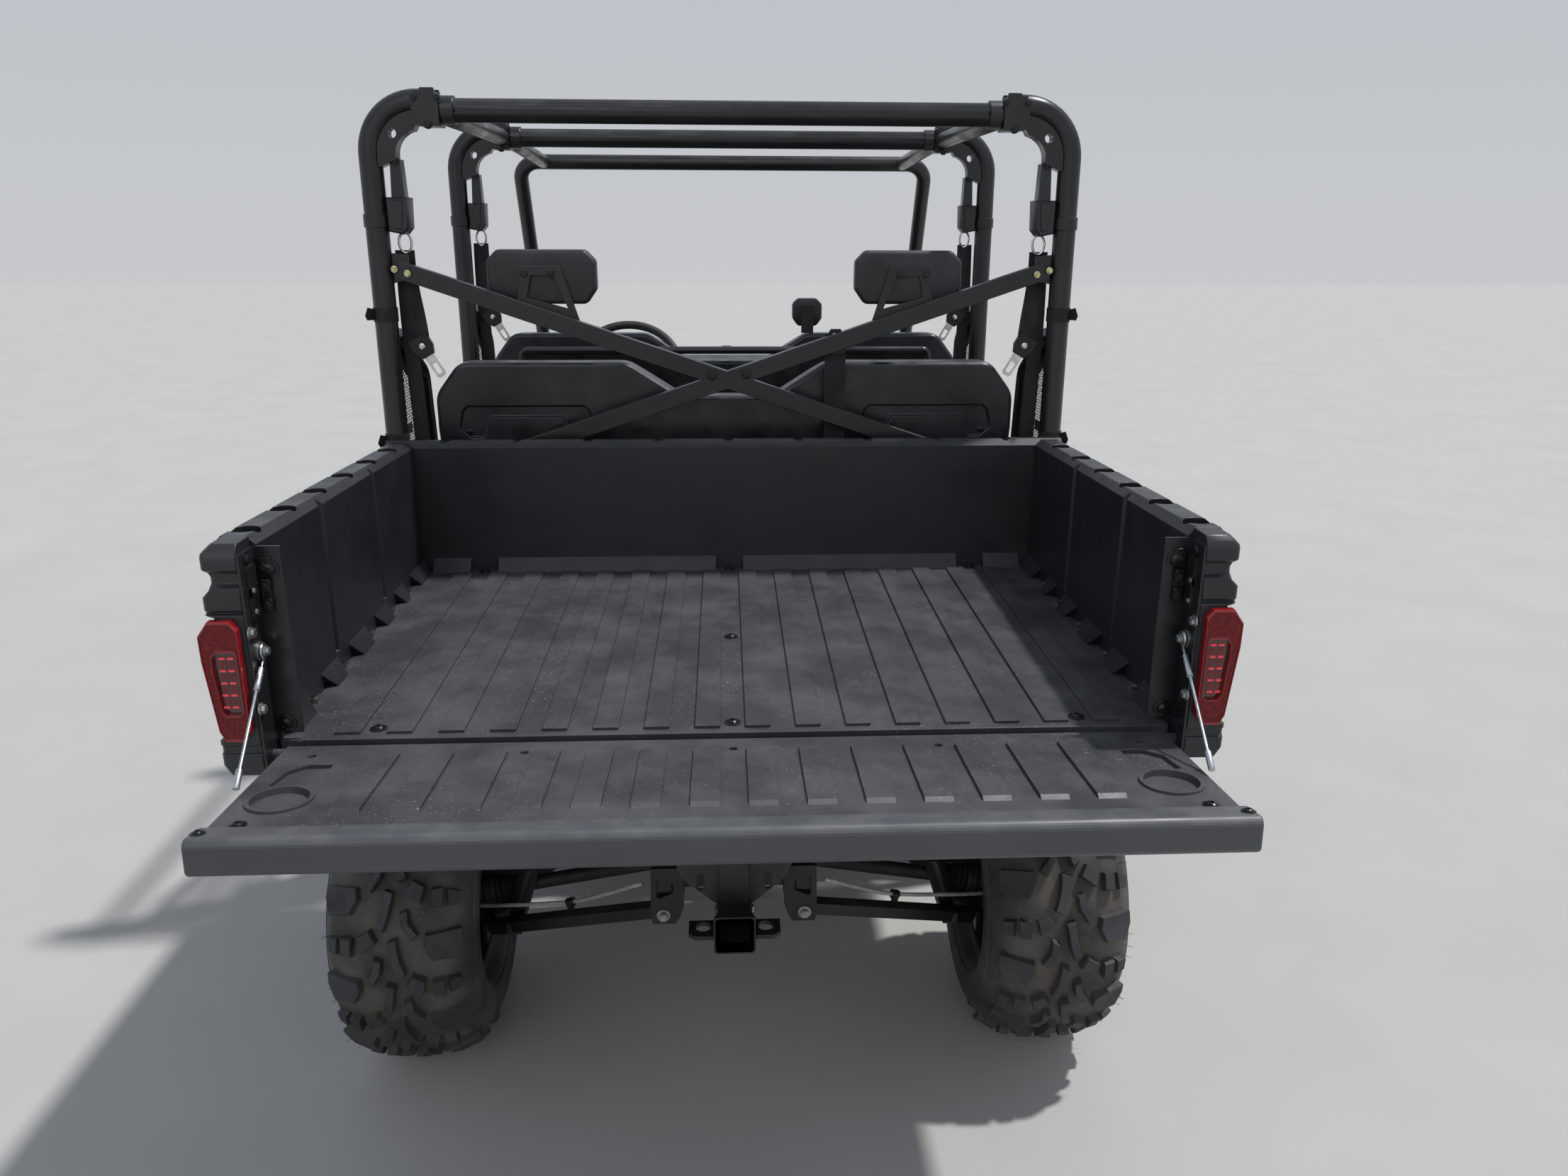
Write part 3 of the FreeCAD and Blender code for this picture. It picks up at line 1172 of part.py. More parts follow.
def make_front_fenders():
    """Front quarters: fender tops with their arches and the cheeks beside the hood."""
    r = 420
    x_in, x_out = 690, v.body_half_width
    station = front_axle_station
    outline = [(2885, 520), (2885, 760), (2960, 930), (3060, 1060), (3330, 1040), (3600, 990), (3740, 880), (3760, 640),
               (3700, 520)]
    side_face = prism([(x_in, y, z) for y, z in outline], (x_out - x_in, 0, 0))
    arch = cylinder(r, (x_in - 10, station, v.tyre_radius + 20), (x_out + 10, station, v.tyre_radius + 20))
    lower = block((x_in - 10, station - r, 200), (x_out + 10, station + r, v.tyre_radius + 20))
    flare = side_face.cut(arch).cut(lower)
    top_profile = [(3075, 1052), (3330, 1034), (3600, 984), (3740, 876), (3740, 868), (3596, 976), (3330, 1026),
                   (3075, 1044)]
    top = prism([(526, y, z) for y, z in top_profile], (x_in - 526, 0, 0))
    pillar = block((leg - 90, 3085, 930), (leg + 2, 3185, 1100))
    nose = block((500, FRAME_END + 9.7, 500), (660.3, 3900, 960))
    fender = fuse([flare, top]).cut(pillar.fuse(nose))
    return feature("front_fenders", Part.makeCompound(both(fender)))


def make_front_fascia():
    """Nose moulding with its slatted grille, bumper and headlamp openings."""
    front = v.front_end_station - 60
    section = [(FRAME_END + 10, 560), (FRAME_END + 10, 940), (front - 14, 935), (front, 880), (front + 30, 700),
               (front + 10, 560)]
    nose = prism([(-660, y, z) for y, z in section], (1320, 0, 0))
    hollow = block((-250, FRAME_END - 10, 600), (250, front + 60, 860))
    nose = nose.cut(hollow)
    parts = [nose]
    for z in range(620, 860, 40):
        parts.append(block((-255, front - 30, z), (255, front + 6, z + 14)))
    bumper = [(front - 40, 430), (front - 40, 559.7), (v.front_end_station - 8, 559.7), (v.front_end_station, 530),
              (v.front_end_station, 470), (v.front_end_station - 20, 430)]
    parts.append(prism([(-560, y, z) for y, z in bumper], (1120, 0, 0)))
    parts.append(prism([(-560, FRAME_END + 4, 540), (-560, FRAME_END + 4, 562), (-560, front, 562),
                        (-560, front, 540)], (1120, 0, 0)))
    nose = fuse(parts)
    for side in (-1, 1):
        low, high = sorted((side * 300, side * 640))
        nose = nose.cut(block((low, front - 70, 760), (high, front + 60, 890)))
    return feature("front_fascia", nose)


def make_headlights():
    """Headlamps set into the nose."""
    front = v.front_end_station - 60
    outline = [(300.3, 760.3), (639.7, 790), (639.7, 889.7), (320, 880), (300.3, 850)]
    lamp = prism([(x, front - 69.7, z) for x, z in outline], (0, 72, 0))
    return feature("headlights", Part.makeCompound(both(lamp)))


make_cab_floor()
make_side_panels()
make_hood()
make_dash()
make_steering_wheel()
make_steering_rack()
make_front_fenders()
make_front_fascia()
make_headlights()

doc.recompute()
failed = [item.Label for item in doc.Objects if {"Invalid", "Error"} & set(item.State)]
if failed:
    raise SystemExit(f"failed objects: {failed}")
for node in NODES:
    if node.Shape.isNull() or not node.Shape.isValid():
        raise SystemExit(f"bad shape: {node.Label}")
os.makedirs("parts", exist_ok=True)
for node in NODES:
    node.Shape.exportStep(f"parts/{node.Label}.step")
print(len(NODES), "nodes", round(sum(node.Shape.Volume for node in NODES) / 1e9, 4), "m3")
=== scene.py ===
import math
import random

import bmesh
import bpy
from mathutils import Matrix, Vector


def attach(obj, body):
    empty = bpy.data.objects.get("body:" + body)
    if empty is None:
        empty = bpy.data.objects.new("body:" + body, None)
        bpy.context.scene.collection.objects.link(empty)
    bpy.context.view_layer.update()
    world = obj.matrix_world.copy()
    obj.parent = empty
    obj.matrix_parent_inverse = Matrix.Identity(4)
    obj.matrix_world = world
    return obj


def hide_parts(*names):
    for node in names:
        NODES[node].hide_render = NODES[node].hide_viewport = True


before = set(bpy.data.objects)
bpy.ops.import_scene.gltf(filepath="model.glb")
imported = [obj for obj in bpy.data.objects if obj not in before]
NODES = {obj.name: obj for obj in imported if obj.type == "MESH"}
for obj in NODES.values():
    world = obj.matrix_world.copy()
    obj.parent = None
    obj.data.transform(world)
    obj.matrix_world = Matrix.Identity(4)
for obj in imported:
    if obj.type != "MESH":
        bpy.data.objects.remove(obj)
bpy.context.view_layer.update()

HOME = 1.73342  # stations are measured forward from the bed's rear edge; the frame's own y is 0 here
DETAIL = random.Random(7)
BEVEL_ANGLE = math.radians(38)


def at(x, station, z):
    """A point from millimetres across, along the stations and up, in metres in the frame."""
    return Vector((x / 1000, station / 1000 - HOME, z / 1000))


# Materials

def node(tree, kind, **values):
    """A shader node with its inputs or attributes set."""
    made = tree.nodes.new(kind)
    for key, value in values.items():
        if key in made.inputs:
            made.inputs[key].default_value = value
        else:
            setattr(made, key, value)
    return made


def own_place(tree, texture):
    """The texture node, laid in the object's own coordinates."""
    tree.links.new(tree.nodes.new("ShaderNodeTexCoord").outputs["Object"], texture.inputs["Vector"])
    return texture


def noise(tree, scale, detail=3.0, rough=0.55):
    """Noise over the object's own coordinates."""
    return own_place(tree, node(tree, "ShaderNodeTexNoise", Scale=scale, Detail=detail, Roughness=rough)).outputs["Fac"]


def ramp(tree, source, low, high, start=0.0, end=1.0):
    """The source mapped from low..high to start..end, clamped."""
    limits = {"From Min": low, "From Max": high, "To Min": start, "To Max": end}
    mapped = node(tree, "ShaderNodeMapRange", **limits)
    tree.links.new(source, mapped.inputs["Value"])
    return mapped.outputs["Result"]


def times(tree, a, b):
    """Product of two factors, each a socket or a number."""
    product = node(tree, "ShaderNodeMath", operation="MULTIPLY")
    for i, source in enumerate((a, b)):
        if isinstance(source, (int, float)):
            product.inputs[i].default_value = source
        else:
            tree.links.new(source, product.inputs[i])
    return product.outputs[0]


def mixed(tree, factor, a, b):
    """Colour a fading to colour b."""
    blend = node(tree, "ShaderNodeMix", data_type="RGBA")
    for socket, source in ((blend.inputs[6], a), (blend.inputs[7], b)):
        if isinstance(source, tuple):
            socket.default_value = (*source, 1)
        else:
            tree.links.new(source, socket)
    tree.links.new(factor, blend.inputs[0])
    return blend.outputs[2]


def upward(tree):
    """How far a surface faces up, 0 to 1."""
    geometry = tree.nodes.new("ShaderNodeNewGeometry")
    split = tree.nodes.new("ShaderNodeSeparateXYZ")
    tree.links.new(geometry.outputs["Normal"], split.inputs[0])
    return ramp(tree, split.outputs["Z"], 0.2, 0.9)


def blank(name, **inputs):
    """A new material and its node tree, with inputs of its shader set."""
    material = bpy.data.materials.new(name)
    material.use_nodes = True
    for key, value in inputs.items():
        material.node_tree.nodes["Principled BSDF"].inputs[key.replace("_", " ")].default_value = value
    return material, material.node_tree


def feed(tree, name, source):
    """Link a source to an input of the material's shader."""
    tree.links.new(source, tree.nodes["Principled BSDF"].inputs[name])


def relief(tree, source, strength, distance):
    """Let a source raise and sink the surface."""
    bump = node(tree, "ShaderNodeBump", Strength=strength, Distance=distance)
    tree.links.new(source, bump.inputs["Height"])
    feed(tree, "Normal", bump.outputs["Normal"])


def finish(name, base, rough, metal=0.0, grain=(900, 0.12, 0.0006), mottle=(9, 0.35), dust=0.0,
           dust_colour=(0.30, 0.29, 0.27), dust_scale=14, specks=0.0, coat=0.0, spread=0.10):
    """One finish: base colour with slow mottling, fine grain in the bump, and dust that lies on upper faces."""
    material, tree = blank(name, Metallic=metal, Coat_Weight=coat)
    darker = tuple(c * (1 - mottle[1]) for c in base)
    lighter = tuple(min(1.0, c * (1 + mottle[1])) for c in base)
    colour = mixed(tree, ramp(tree, noise(tree, mottle[0], 4), 0.35, 0.65), darker, lighter)
    if dust:
        patches = ramp(tree, noise(tree, dust_scale, 5, 0.62), 0.42, 0.66, 0.25, 1.0)
        amount = times(tree, times(tree, patches, upward(tree)), dust)
        colour = mixed(tree, amount, colour, dust_colour)
    if specks:
        spots = ramp(tree, noise(tree, 330, 2, 0.5), 0.66, 0.72)
        near = ramp(tree, noise(tree, 6, 3), 0.40, 0.62)
        colour = mixed(tree, times(tree, times(tree, spots, near), specks), colour, (0.45, 0.44, 0.42))
    feed(tree, "Base Color", colour)
    slow = noise(tree, mottle[0] * 2.3, 3)
    feed(tree, "Roughness", ramp(tree, slow, 0.3, 0.7, max(0.02, rough - spread), min(1, rough + spread)))
    if grain[1]:
        relief(tree, noise(tree, grain[0], 2, 0.5), *grain[1:])
    return material


def lamp_plastic(name, near, far, low, high, strength, cells, **inputs):
    """Moulded lamp plastic with a fine pattern of cells; its colour changes over the distance within a cell."""
    material, tree = blank(name, **inputs)
    distance = own_place(tree, node(tree, "ShaderNodeTexVoronoi", **cells)).outputs["Distance"]
    feed(tree, "Base Color", mixed(tree, ramp(tree, distance, low, high), near, far))
    relief(tree, distance, strength, 0.0008)
    return material


def reflector(name, base, deep, cell, rough, painted_glint_glow=0.0):
    """Moulded red field with a honeycomb of small cells; the darker colour along the cells' sunk borders is painted
    shade in their grooves, and a glow above zero is a painted glint.
    """
    cells = {"Scale": cell, "feature": "DISTANCE_TO_EDGE", "Randomness": 0.15}
    return lamp_plastic(name, deep, base, 0.02, 0.20, 0.6, cells, Roughness=rough, Coat_Weight=0.15,
                        Specular_IOR_Level=0.25, Emission_Color=(*base, 1), Emission_Strength=painted_glint_glow)


def tread_rubber():
    """Tyre rubber: worn grey on the lugs' tops, tan dust between them, and pale specks."""
    material = finish("tread_rubber", (0.030, 0.031, 0.033), 0.66, grain=(420, 0.30, 0.0008), mottle=(14, 0.3))
    tree = material.node_tree
    plain = tree.nodes["Principled BSDF"].inputs["Base Color"].links[0].from_socket
    worn = node(tree, "ShaderNodeAttribute", attribute_name="wear")
    dusty = mixed(tree, ramp(tree, noise(tree, 11, 4), 0.38, 0.66), (0.030, 0.028, 0.026), (0.088, 0.077, 0.064))
    colour = mixed(tree, ramp(tree, worn.outputs["Fac"], 0.05, 0.85), dusty, plain)
    spots = times(tree, ramp(tree, noise(tree, 260, 2, 0.5), 0.69, 0.74), ramp(tree, noise(tree, 13, 3), 0.45, 0.62))
    feed(tree, "Base Color", mixed(tree, times(tree, spots, 0.7), colour, (0.36, 0.35, 0.33)))
    return material


def net_cloth():
    """Black knotted mesh, open between its strands."""
    material = finish("net_mesh", (0.014, 0.014, 0.015), 0.8, grain=(1600, 0.2, 0.0003), mottle=(30, 0.2))
    tree = material.node_tree
    strand = node(tree, "ShaderNodeMath", operation="MAXIMUM")
    for i, turn in enumerate((math.radians(52), math.radians(-52))):
        mapping = own_place(tree, node(tree, "ShaderNodeMapping", Rotation=(turn, 0, 0)))
        wave = node(tree, "ShaderNodeTexWave", Scale=34.0, wave_type="BANDS", bands_direction="Z", wave_profile="TRI")
        tree.links.new(mapping.outputs["Vector"], wave.inputs["Vector"])
        tree.links.new(ramp(tree, wave.outputs["Fac"], 0.55, 0.60), strand.inputs[i])
    feed(tree, "Alpha", strand.outputs[0])
    return material


FINISHES = {
    "steel": finish("satin_black_steel", (0.012, 0.012, 0.013), 0.34, grain=(1400, 0.05, 0.0003), mottle=(5, 0.2),
                    dust=0.05),
    "frame_steel": finish("painted_frame_steel", (0.010, 0.010, 0.011), 0.42, mottle=(7, 0.3), dust=0.10,
                          dust_colour=(0.16, 0.15, 0.13)),
    "plastic": finish("moulded_charcoal", (0.014, 0.015, 0.017), 0.40, grain=(700, 0.18, 0.0005), mottle=(5, 0.10),
                      dust=0.05),
    "smooth_plastic": finish("smooth_black_plastic", (0.014, 0.014, 0.016), 0.33, grain=(500, 0.06, 0.0004),
                             dust=0.06),
    "bed": finish("dusty_bed_plastic", (0.034, 0.035, 0.038), 0.46, grain=(520, 0.30, 0.0006), mottle=(7, 0.18),
                  dust=0.5, dust_colour=(0.105, 0.105, 0.108), dust_scale=7, specks=0.6),
    # Painted sky reflection: the lip's lighter, bluish grey base colour stands for the sky reflected in its smooth
    # face; the dust on its top is real dust.
    "lip": finish("lip_painted_sky_reflection", (0.060, 0.064, 0.070), 0.46, grain=(600, 0.10, 0.0004), mottle=(3, 0.12), dust=0.2),
    "vinyl": finish("seat_vinyl", (0.018, 0.018, 0.020), 0.45, grain=(420, 0.35, 0.0007), dust=0.08),
    "webbing": finish("woven_webbing", (0.010, 0.010, 0.011), 0.72, grain=(1600, 0.5, 0.0006), dust=0.03),
    "rim": finish("black_rim", (0.011, 0.011, 0.012), 0.30, mottle=(9, 0.2), dust=0.05),
    "rubber": finish("boot_rubber", (0.012, 0.012, 0.012), 0.62, grain=(300, 0.2, 0.0006), dust=0.12,
                     dust_colour=(0.14, 0.13, 0.11)),
    "cast": finish("cast_aluminium", (0.36, 0.37, 0.38), 0.48, metal=0.85, grain=(500, 0.35, 0.0008),
                   mottle=(12, 0.25)),
    "engine": finish("dark_casting", (0.045, 0.046, 0.048), 0.55, metal=0.5, grain=(300, 0.3, 0.001), dust=0.1),
    "zinc": finish("zinc_plate", (0.62, 0.61, 0.56), 0.28, metal=1.0, grain=(900, 0.05, 0.0003), mottle=(60, 0.15)),
    "chrome": finish("polished_rod", (0.75, 0.75, 0.76), 0.10, metal=1.0, grain=(900, 0.0, 0.0003),
                     mottle=(30, 0.06), spread=0.04),
    "spring": finish("spring_paint", (0.012, 0.012, 0.013), 0.30, mottle=(12, 0.2)),
    "cable": finish("wire_rope", (0.55, 0.56, 0.57), 0.32, metal=1.0, grain=(1500, 0.3, 0.0004), mottle=(40, 0.2)),
    "bolt_black": finish("black_fastener", (0.014, 0.014, 0.015), 0.30, metal=0.4, grain=(900, 0.05, 0.0003),
                         mottle=(60, 0.2)),
    "bolt_grey": finish("dull_zinc_fastener", (0.34, 0.34, 0.33), 0.38, metal=0.9, grain=(900, 0.06, 0.0003),
                        mottle=(80, 0.3)),
    "bolt_yellow": finish("yellow_zinc_fastener", (0.62, 0.58, 0.32), 0.30, metal=0.95, grain=(900, 0.06, 0.0003),
                          mottle=(80, 0.3)),
    "hose": finish("braided_hose", (0.42, 0.42, 0.41), 0.40, metal=0.3, grain=(1800, 0.4, 0.0004), mottle=(60, 0.2)),
    "brass": finish("brass_fitting", (0.62, 0.47, 0.22), 0.35, metal=1.0, grain=(900, 0.1, 0.0003), mottle=(60, 0.2)),
    "red_lens": finish("red_lens_rim", (0.24, 0.004, 0.006), 0.14, grain=(300, 0.02, 0.0003), mottle=(20, 0.15),
                       coat=0.6),
    "lamp_window": finish("dark_red_window", (0.055, 0.002, 0.003), 0.10, grain=(300, 0.05, 0.0004),
                          mottle=(60, 0.4), coat=0.8),
    "red_field": reflector("red_reflector", (0.36, 0.010, 0.012), (0.07, 0.001, 0.002), 330, 0.3),
    # Painted glint: the diodes' bright pinkish base colour and faint glow stand for sunlight glinting on them.
    "diode": reflector("diode_painted_glint", (0.80, 0.09, 0.10), (0.45, 0.02, 0.03), 600, 0.2, 0.25),
    "clear_lens": lamp_plastic("clear_lens", (0.75, 0.78, 0.80), (0.45, 0.48, 0.50), 0.1, 0.6, 0.35,
                               {"Scale": 210, "feature": "F1"}, Roughness=0.08, Transmission_Weight=0.35,
                               IOR=1.49, Coat_Weight=0.6),
    "tyre": tread_rubber(),
    "net": net_cloth(),
}

# The CAD nodes that each finish is for
NODES_OF = {
    "frame_steel": "frame hitch front_arms rear_arms bed_subframe steering_rack",
    "bed": "bed_floor tailgate_panel",
    "plastic": "bed_side_left bed_side_right bed_front_wall bed_corner_posts cab_floor side_panels hood "
               "dash front_fenders front_fascia",
    "red_lens": "tail_lights",
    "steel": "gate_brackets damper_tube cage_rear_hoop cage_mid_hoop cage_front_hoop cage_roof_rails "
             "cage_cross_braces side_guards headrest_brackets rear_grab_bar",
    "chrome": "damper_rod",
    "lip": "tailgate_cap",
    "cable": "tailgate_cables",
    "webbing": "side_nets seat_belts",
    "smooth_plastic": "rear_seat_back front_seat_back headrests",
    "vinyl": "rear_seat_base front_seat_base",
    "cast": "rear_knuckles front_knuckle_left front_knuckle_right gear_cases silencer",
    "spring": "shocks",
    "rubber": "drive_shafts steering_wheel",
    "engine": "engine",
    "clear_lens": "headlights",
    "rim": "front_rim_left front_rim_right rear_rim_left rear_rim_right",
    "tyre": "front_tyre_left front_tyre_right rear_tyre_left rear_tyre_right",
}
NODE_FINISH = {name: look for look, names in NODES_OF.items() for name in names.split()}

# How wide each node's edges are softened, where it isn't 1.5 mm
EDGES = {"bed_floor": 0.0012, "tailgate_panel": 0.0014, "tailgate_cap": 0.004, "bed_side_left": 0.004,
         "bed_side_right": 0.004, "bed_front_wall": 0.004, "bed_corner_posts": 0.003, "rear_seat_back": 0.008,
         "front_seat_back": 0.008, "front_fascia": 0.006, "front_fenders": 0.006, "hood": 0.003, "dash": 0.006,
         "headrests": 0.004, "steering_wheel": 0.0, "tail_lights": 0.002}


def soften(obj, width):
    """Rounded edges on a hard piece."""
    bevel = obj.modifiers.new("edges", "BEVEL")
    bevel.width = width
    bevel.segments = 2
    bevel.limit_method = "ANGLE"
    bevel.angle_limit = BEVEL_ANGLE
    bevel.use_clamp_overlap = True


def dress_nodes():
    """Give each CAD node its finish and softened edges."""
    for name, obj in NODES.items():
        for slot in obj.material_slots:
            slot.material = FINISHES[NODE_FINISH[name]]
        width = EDGES.get(name, 0.0015)
        if width:
            obj.modifiers.new("weld", "WELD").merge_threshold = 0.00002
            soften(obj, width)


dress_nodes()


# Places shared by several pieces, in millimetres

HOOPS = (1012, 1872)  # stations of the rear and the middle hoop
SEATS = (("rear", 1068), ("front", 1800))  # stations of the seat backs' rear faces
SEAMS = (-222, 222)  # sewn lines between the seats
FRONT_WALL = 933  # station of the bed's front wall
RAIL_TOP, RAIL_FALL = 1204, 29  # the bed's rails at the rear, and how much lower they end
BED_OUTER, POST_FACE = 780, -52  # outer face of the bed, rear face of its corner posts
GROOVE = 871  # height of the bed floor's grooves
LATCH_FACE = 719  # inner face of the latch plates
BACKWARD = (0, -1, 0)


# Mesh helpers for the pieces that the scene adds

GROUPS = {}  # meshes that gather fittings of one kind, made into pieces at the end
SIDES = {-1: "left", 1: "right"}


def group(name, body, look, slot):
    """The mesh that gathers one kind of fitting on one body."""
    if name not in GROUPS:
        GROUPS[name] = (bmesh.new(), body, look, slot)
    return GROUPS[name][0]


def placed(name, data):
    """A new object in the scene."""
    obj = bpy.data.objects.new(name, data)
    bpy.context.scene.collection.objects.link(obj)
    return obj


def piece(name, bm, body, looks, sharp=35, stands_for=None, edge=0.0):
    """An object from mesh code on its body, smooth but for its sharp edges; it may stand for a CAD node."""
    bmesh.ops.recalc_face_normals(bm, faces=bm.faces)
    for face in bm.faces:
        face.smooth = True
    for line in bm.edges:
        if len(line.link_faces) == 2 and line.calc_face_angle(0) > math.radians(sharp):
            line.smooth = False
    mesh = bpy.data.meshes.new(name)
    bm.to_mesh(mesh)
    bm.free()
    for look in ([looks] if isinstance(looks, str) else looks):
        mesh.materials.append(FINISHES[look])
    obj = placed(name, mesh)
    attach(obj, body)
    if stands_for:
        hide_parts(stands_for)
    if edge:
        soften(obj, edge)
    return obj


def close_groups():
    """Turn every gathered mesh into a piece."""
    for name, (bm, body, look, slot) in GROUPS.items():
        piece(name, bm, body, look)


def both(call):
    """The same fitting on the left and on the right."""
    for side in SIDES:
        call(side)


def flank(side, outline, y):
    """Points across and up at one station, mirrored on the left."""
    return [at(side * x, y, z) for x, z in outline]


def turns(count, start=0.0):
    """Angles evenly round a circle."""
    return [math.tau * k / count + start for k in range(count)]


def join(bm, a, b, look=0):
    """Faces between two closed rings of vertices."""
    for k in range(len(a)):
        bm.faces.new((a[k - 1], a[k], b[k], b[k - 1])).material_index = look


def weave(bm, rows):
    """Faces between the vertices of an open grid."""
    for a, b in zip(rows, rows[1:]):
        for j in range(len(a) - 1):
            bm.faces.new((a[j], a[j + 1], b[j + 1], b[j]))


def loft(bm, rings, closed=False, look=0):
    """Rings of points joined in order, and closed to a loop or with a cap at each end."""
    made = [[bm.verts.new(p) for p in ring] for ring in rings]
    for a, b in zip(made, made[1:]):
        join(bm, a, b, look)
    if closed:
        join(bm, made[-1], made[0], look)
    else:
        for cap in (made[0][::-1], made[-1]):
            bm.faces.new(cap).material_index = look


def lathe(bm, start, axis, profile, sides=20, turn=0.0):
    """A closed turned solid; its profile is (along, radius) in millimetres."""
    axis = Vector(axis).normalized()
    across = axis.orthogonal().normalized()
    up = axis.cross(across)
    loft(bm, [[start + axis * (along / 1000) + (across * math.cos(a) + up * math.sin(a)) * (radius / 1000)
               for a in turns(sides, turn)] for along, radius in profile])


def hex_bolt(bm, place, axis, size=8.0, high=6.0, washer=1.5):
    """A hexagon head on its washer."""
    lathe(bm, place, axis, [(-1, size * 1.35), (washer, size * 1.35), (washer + 0.2, size * 1.25)], 20)
    lathe(bm, place, axis, [(washer, size), (washer + high * 0.85, size), (washer + high, size * 0.86)], 6, 0.3)


def button_bolt(bm, place, axis, size=11.0, high=4.0):
    """A domed head with a socket, on a flat washer."""
    lathe(bm, place, axis, [(-1, size * 1.25), (1.2, size * 1.25), (1.5, size * 1.15)], 24)
    lathe(bm, place, axis, [(1.2, size * 0.82), (1.2 + high * 0.45, size * 0.78), (1.2 + high * 0.85, size * 0.55),
                            (1.2 + high, size * 0.36), (1.2 + high * 0.9, size * 0.32), (2.0, size * 0.30)], 18)


def smooth_line(points, steps=8):
    """Points along a smooth line through the given ones."""
    points = [Vector(p) for p in points]
    ends = [points[0] * 2 - points[1]] + points + [points[-1] * 2 - points[-2]]
    line = []
    for a, b, c, d in zip(ends, ends[1:], ends[2:], ends[3:]):
        for k in range(steps):
            t = k / steps
            line.append(0.5 * (2 * b + (c - a) * t + (2 * a - 5 * b + 4 * c - d) * t * t
                               + (3 * b - a - 3 * c + d) * t ** 3))
    return line + [points[-1]]


def sweep(bm, line, radius, sides=10, closed=False):
    """A tube along a line."""
    up = Vector((0, 0, 1))
    rings = []
    for k, point in enumerate(line):
        ahead = line[(k + 1) % len(line)] if closed or k + 1 < len(line) else point
        back = line[k - 1] if closed or k else point
        along = (ahead - back).normalized()
        side = along.cross(up)
        if side.length < 0.2:
            side = along.cross(Vector((0, 1, 0)))
        side.normalize()
        up = side.cross(along).normalized()
        rings.append([point + (side * math.cos(a) + up * math.sin(a)) * (radius / 1000) for a in turns(sides)])
    loft(bm, rings, closed)


def slab(bm, outline, depth, rim=0.0, look=0):
    """A flat plate from its outline and depth, its far rim chamfered by some millimetres."""
    outline, depth = [Vector(p) for p in outline], Vector(depth)
    centre = sum(outline, Vector()) / len(outline)
    rings = [outline]
    if rim:
        rings.append([p + depth - depth.normalized() * (rim / 1000) for p in outline])
        rings.append([p + depth + (centre - p).normalized() * (rim / 1000) for p in outline])
    else:
        rings.append([p + depth for p in outline])
    loft(bm, rings, look=look)


# Tyres

TYRE_RADIUS, LUG = 317.5, 17.0  # over the lugs, and the lugs' height
PITCHES, PITCH = 22, 90.66  # repeats of the tread round a tyre, and the length of one
# Lugs of one pitch: rows of left and right points, each (across, along the tread), and the height
LUGS = [
    ([((-4, 3), (11, -3)), ((-1, 24), (13, 19)), ((3, 46), (17, 40)), ((12, 74), (25, 66))], 17),
    ([((17, 131), (30, 126)), ((20, 156), (33, 150)), ((36, 182), (48, 172))], 16),
    ([((37, 71), (58, 84)), ((25, 93), (52, 113))], 16),
    ([((70, 88), (88, 85)), ((70, 121), (88, 121))], 15),
    ([((96, 88), (117, 91)), ((98, 120), (115, 118))], 13),
    ([((62, -8), (120, -16)), ((59, 14), (122, 10)), ((72, 42), (110, 44))], 15),
]


def tyre_section(half):
    """Points from the crown to the bead, (across, distance from the axle), with the length along them."""
    crown = TYRE_RADIUS - LUG
    points = [(-0.36 * half, crown - 2.5), (0, crown), (0.36 * half, crown - 2.5), (0.62 * half, crown - 10),
              (0.82 * half, crown - 27), (0.95 * half, crown - 52), (half, crown - 78), (half - 2, crown - 103),
              (half - 14, crown - 122), (106, 168), (98.5, 158.5), (96.4, 152.8)]
    line = smooth_line([(x, z, 0) for x, z in points], 6)[6:]
    run, table = 0.0, []
    for a, b in zip(line, line[1:]):
        out = Vector((b.y - a.y, a.x - b.x)).normalized() * -1
        table.append((run, a.x, a.y, out.x, out.y))
        run += (b - a).length
    table.append((run, line[-1].x, line[-1].y, out.x, out.y))
    return table


def tread_point(table, wheel, across, along, height):
    """A point of the tread in the frame."""
    run = abs(across)
    sign = -1 if across < 0 else 1
    for a, b in zip(table, table[1:]):
        if b[0] >= run:
            share = (run - a[0]) / max(1e-9, b[0] - a[0])
            x, r, nx, nr = (p + (q - p) * share for p, q in zip(a[1:], b[1:]))
            break
    else:
        x, r, nx, nr = table[-1][1:]
    x, r = sign * (x + nx * height), r + nr * height
    angle = math.tau * along / (PITCHES * PITCH)
    return at(wheel[0] + x, wheel[1] - r * math.cos(angle), TYRE_RADIUS - r * math.sin(angle))


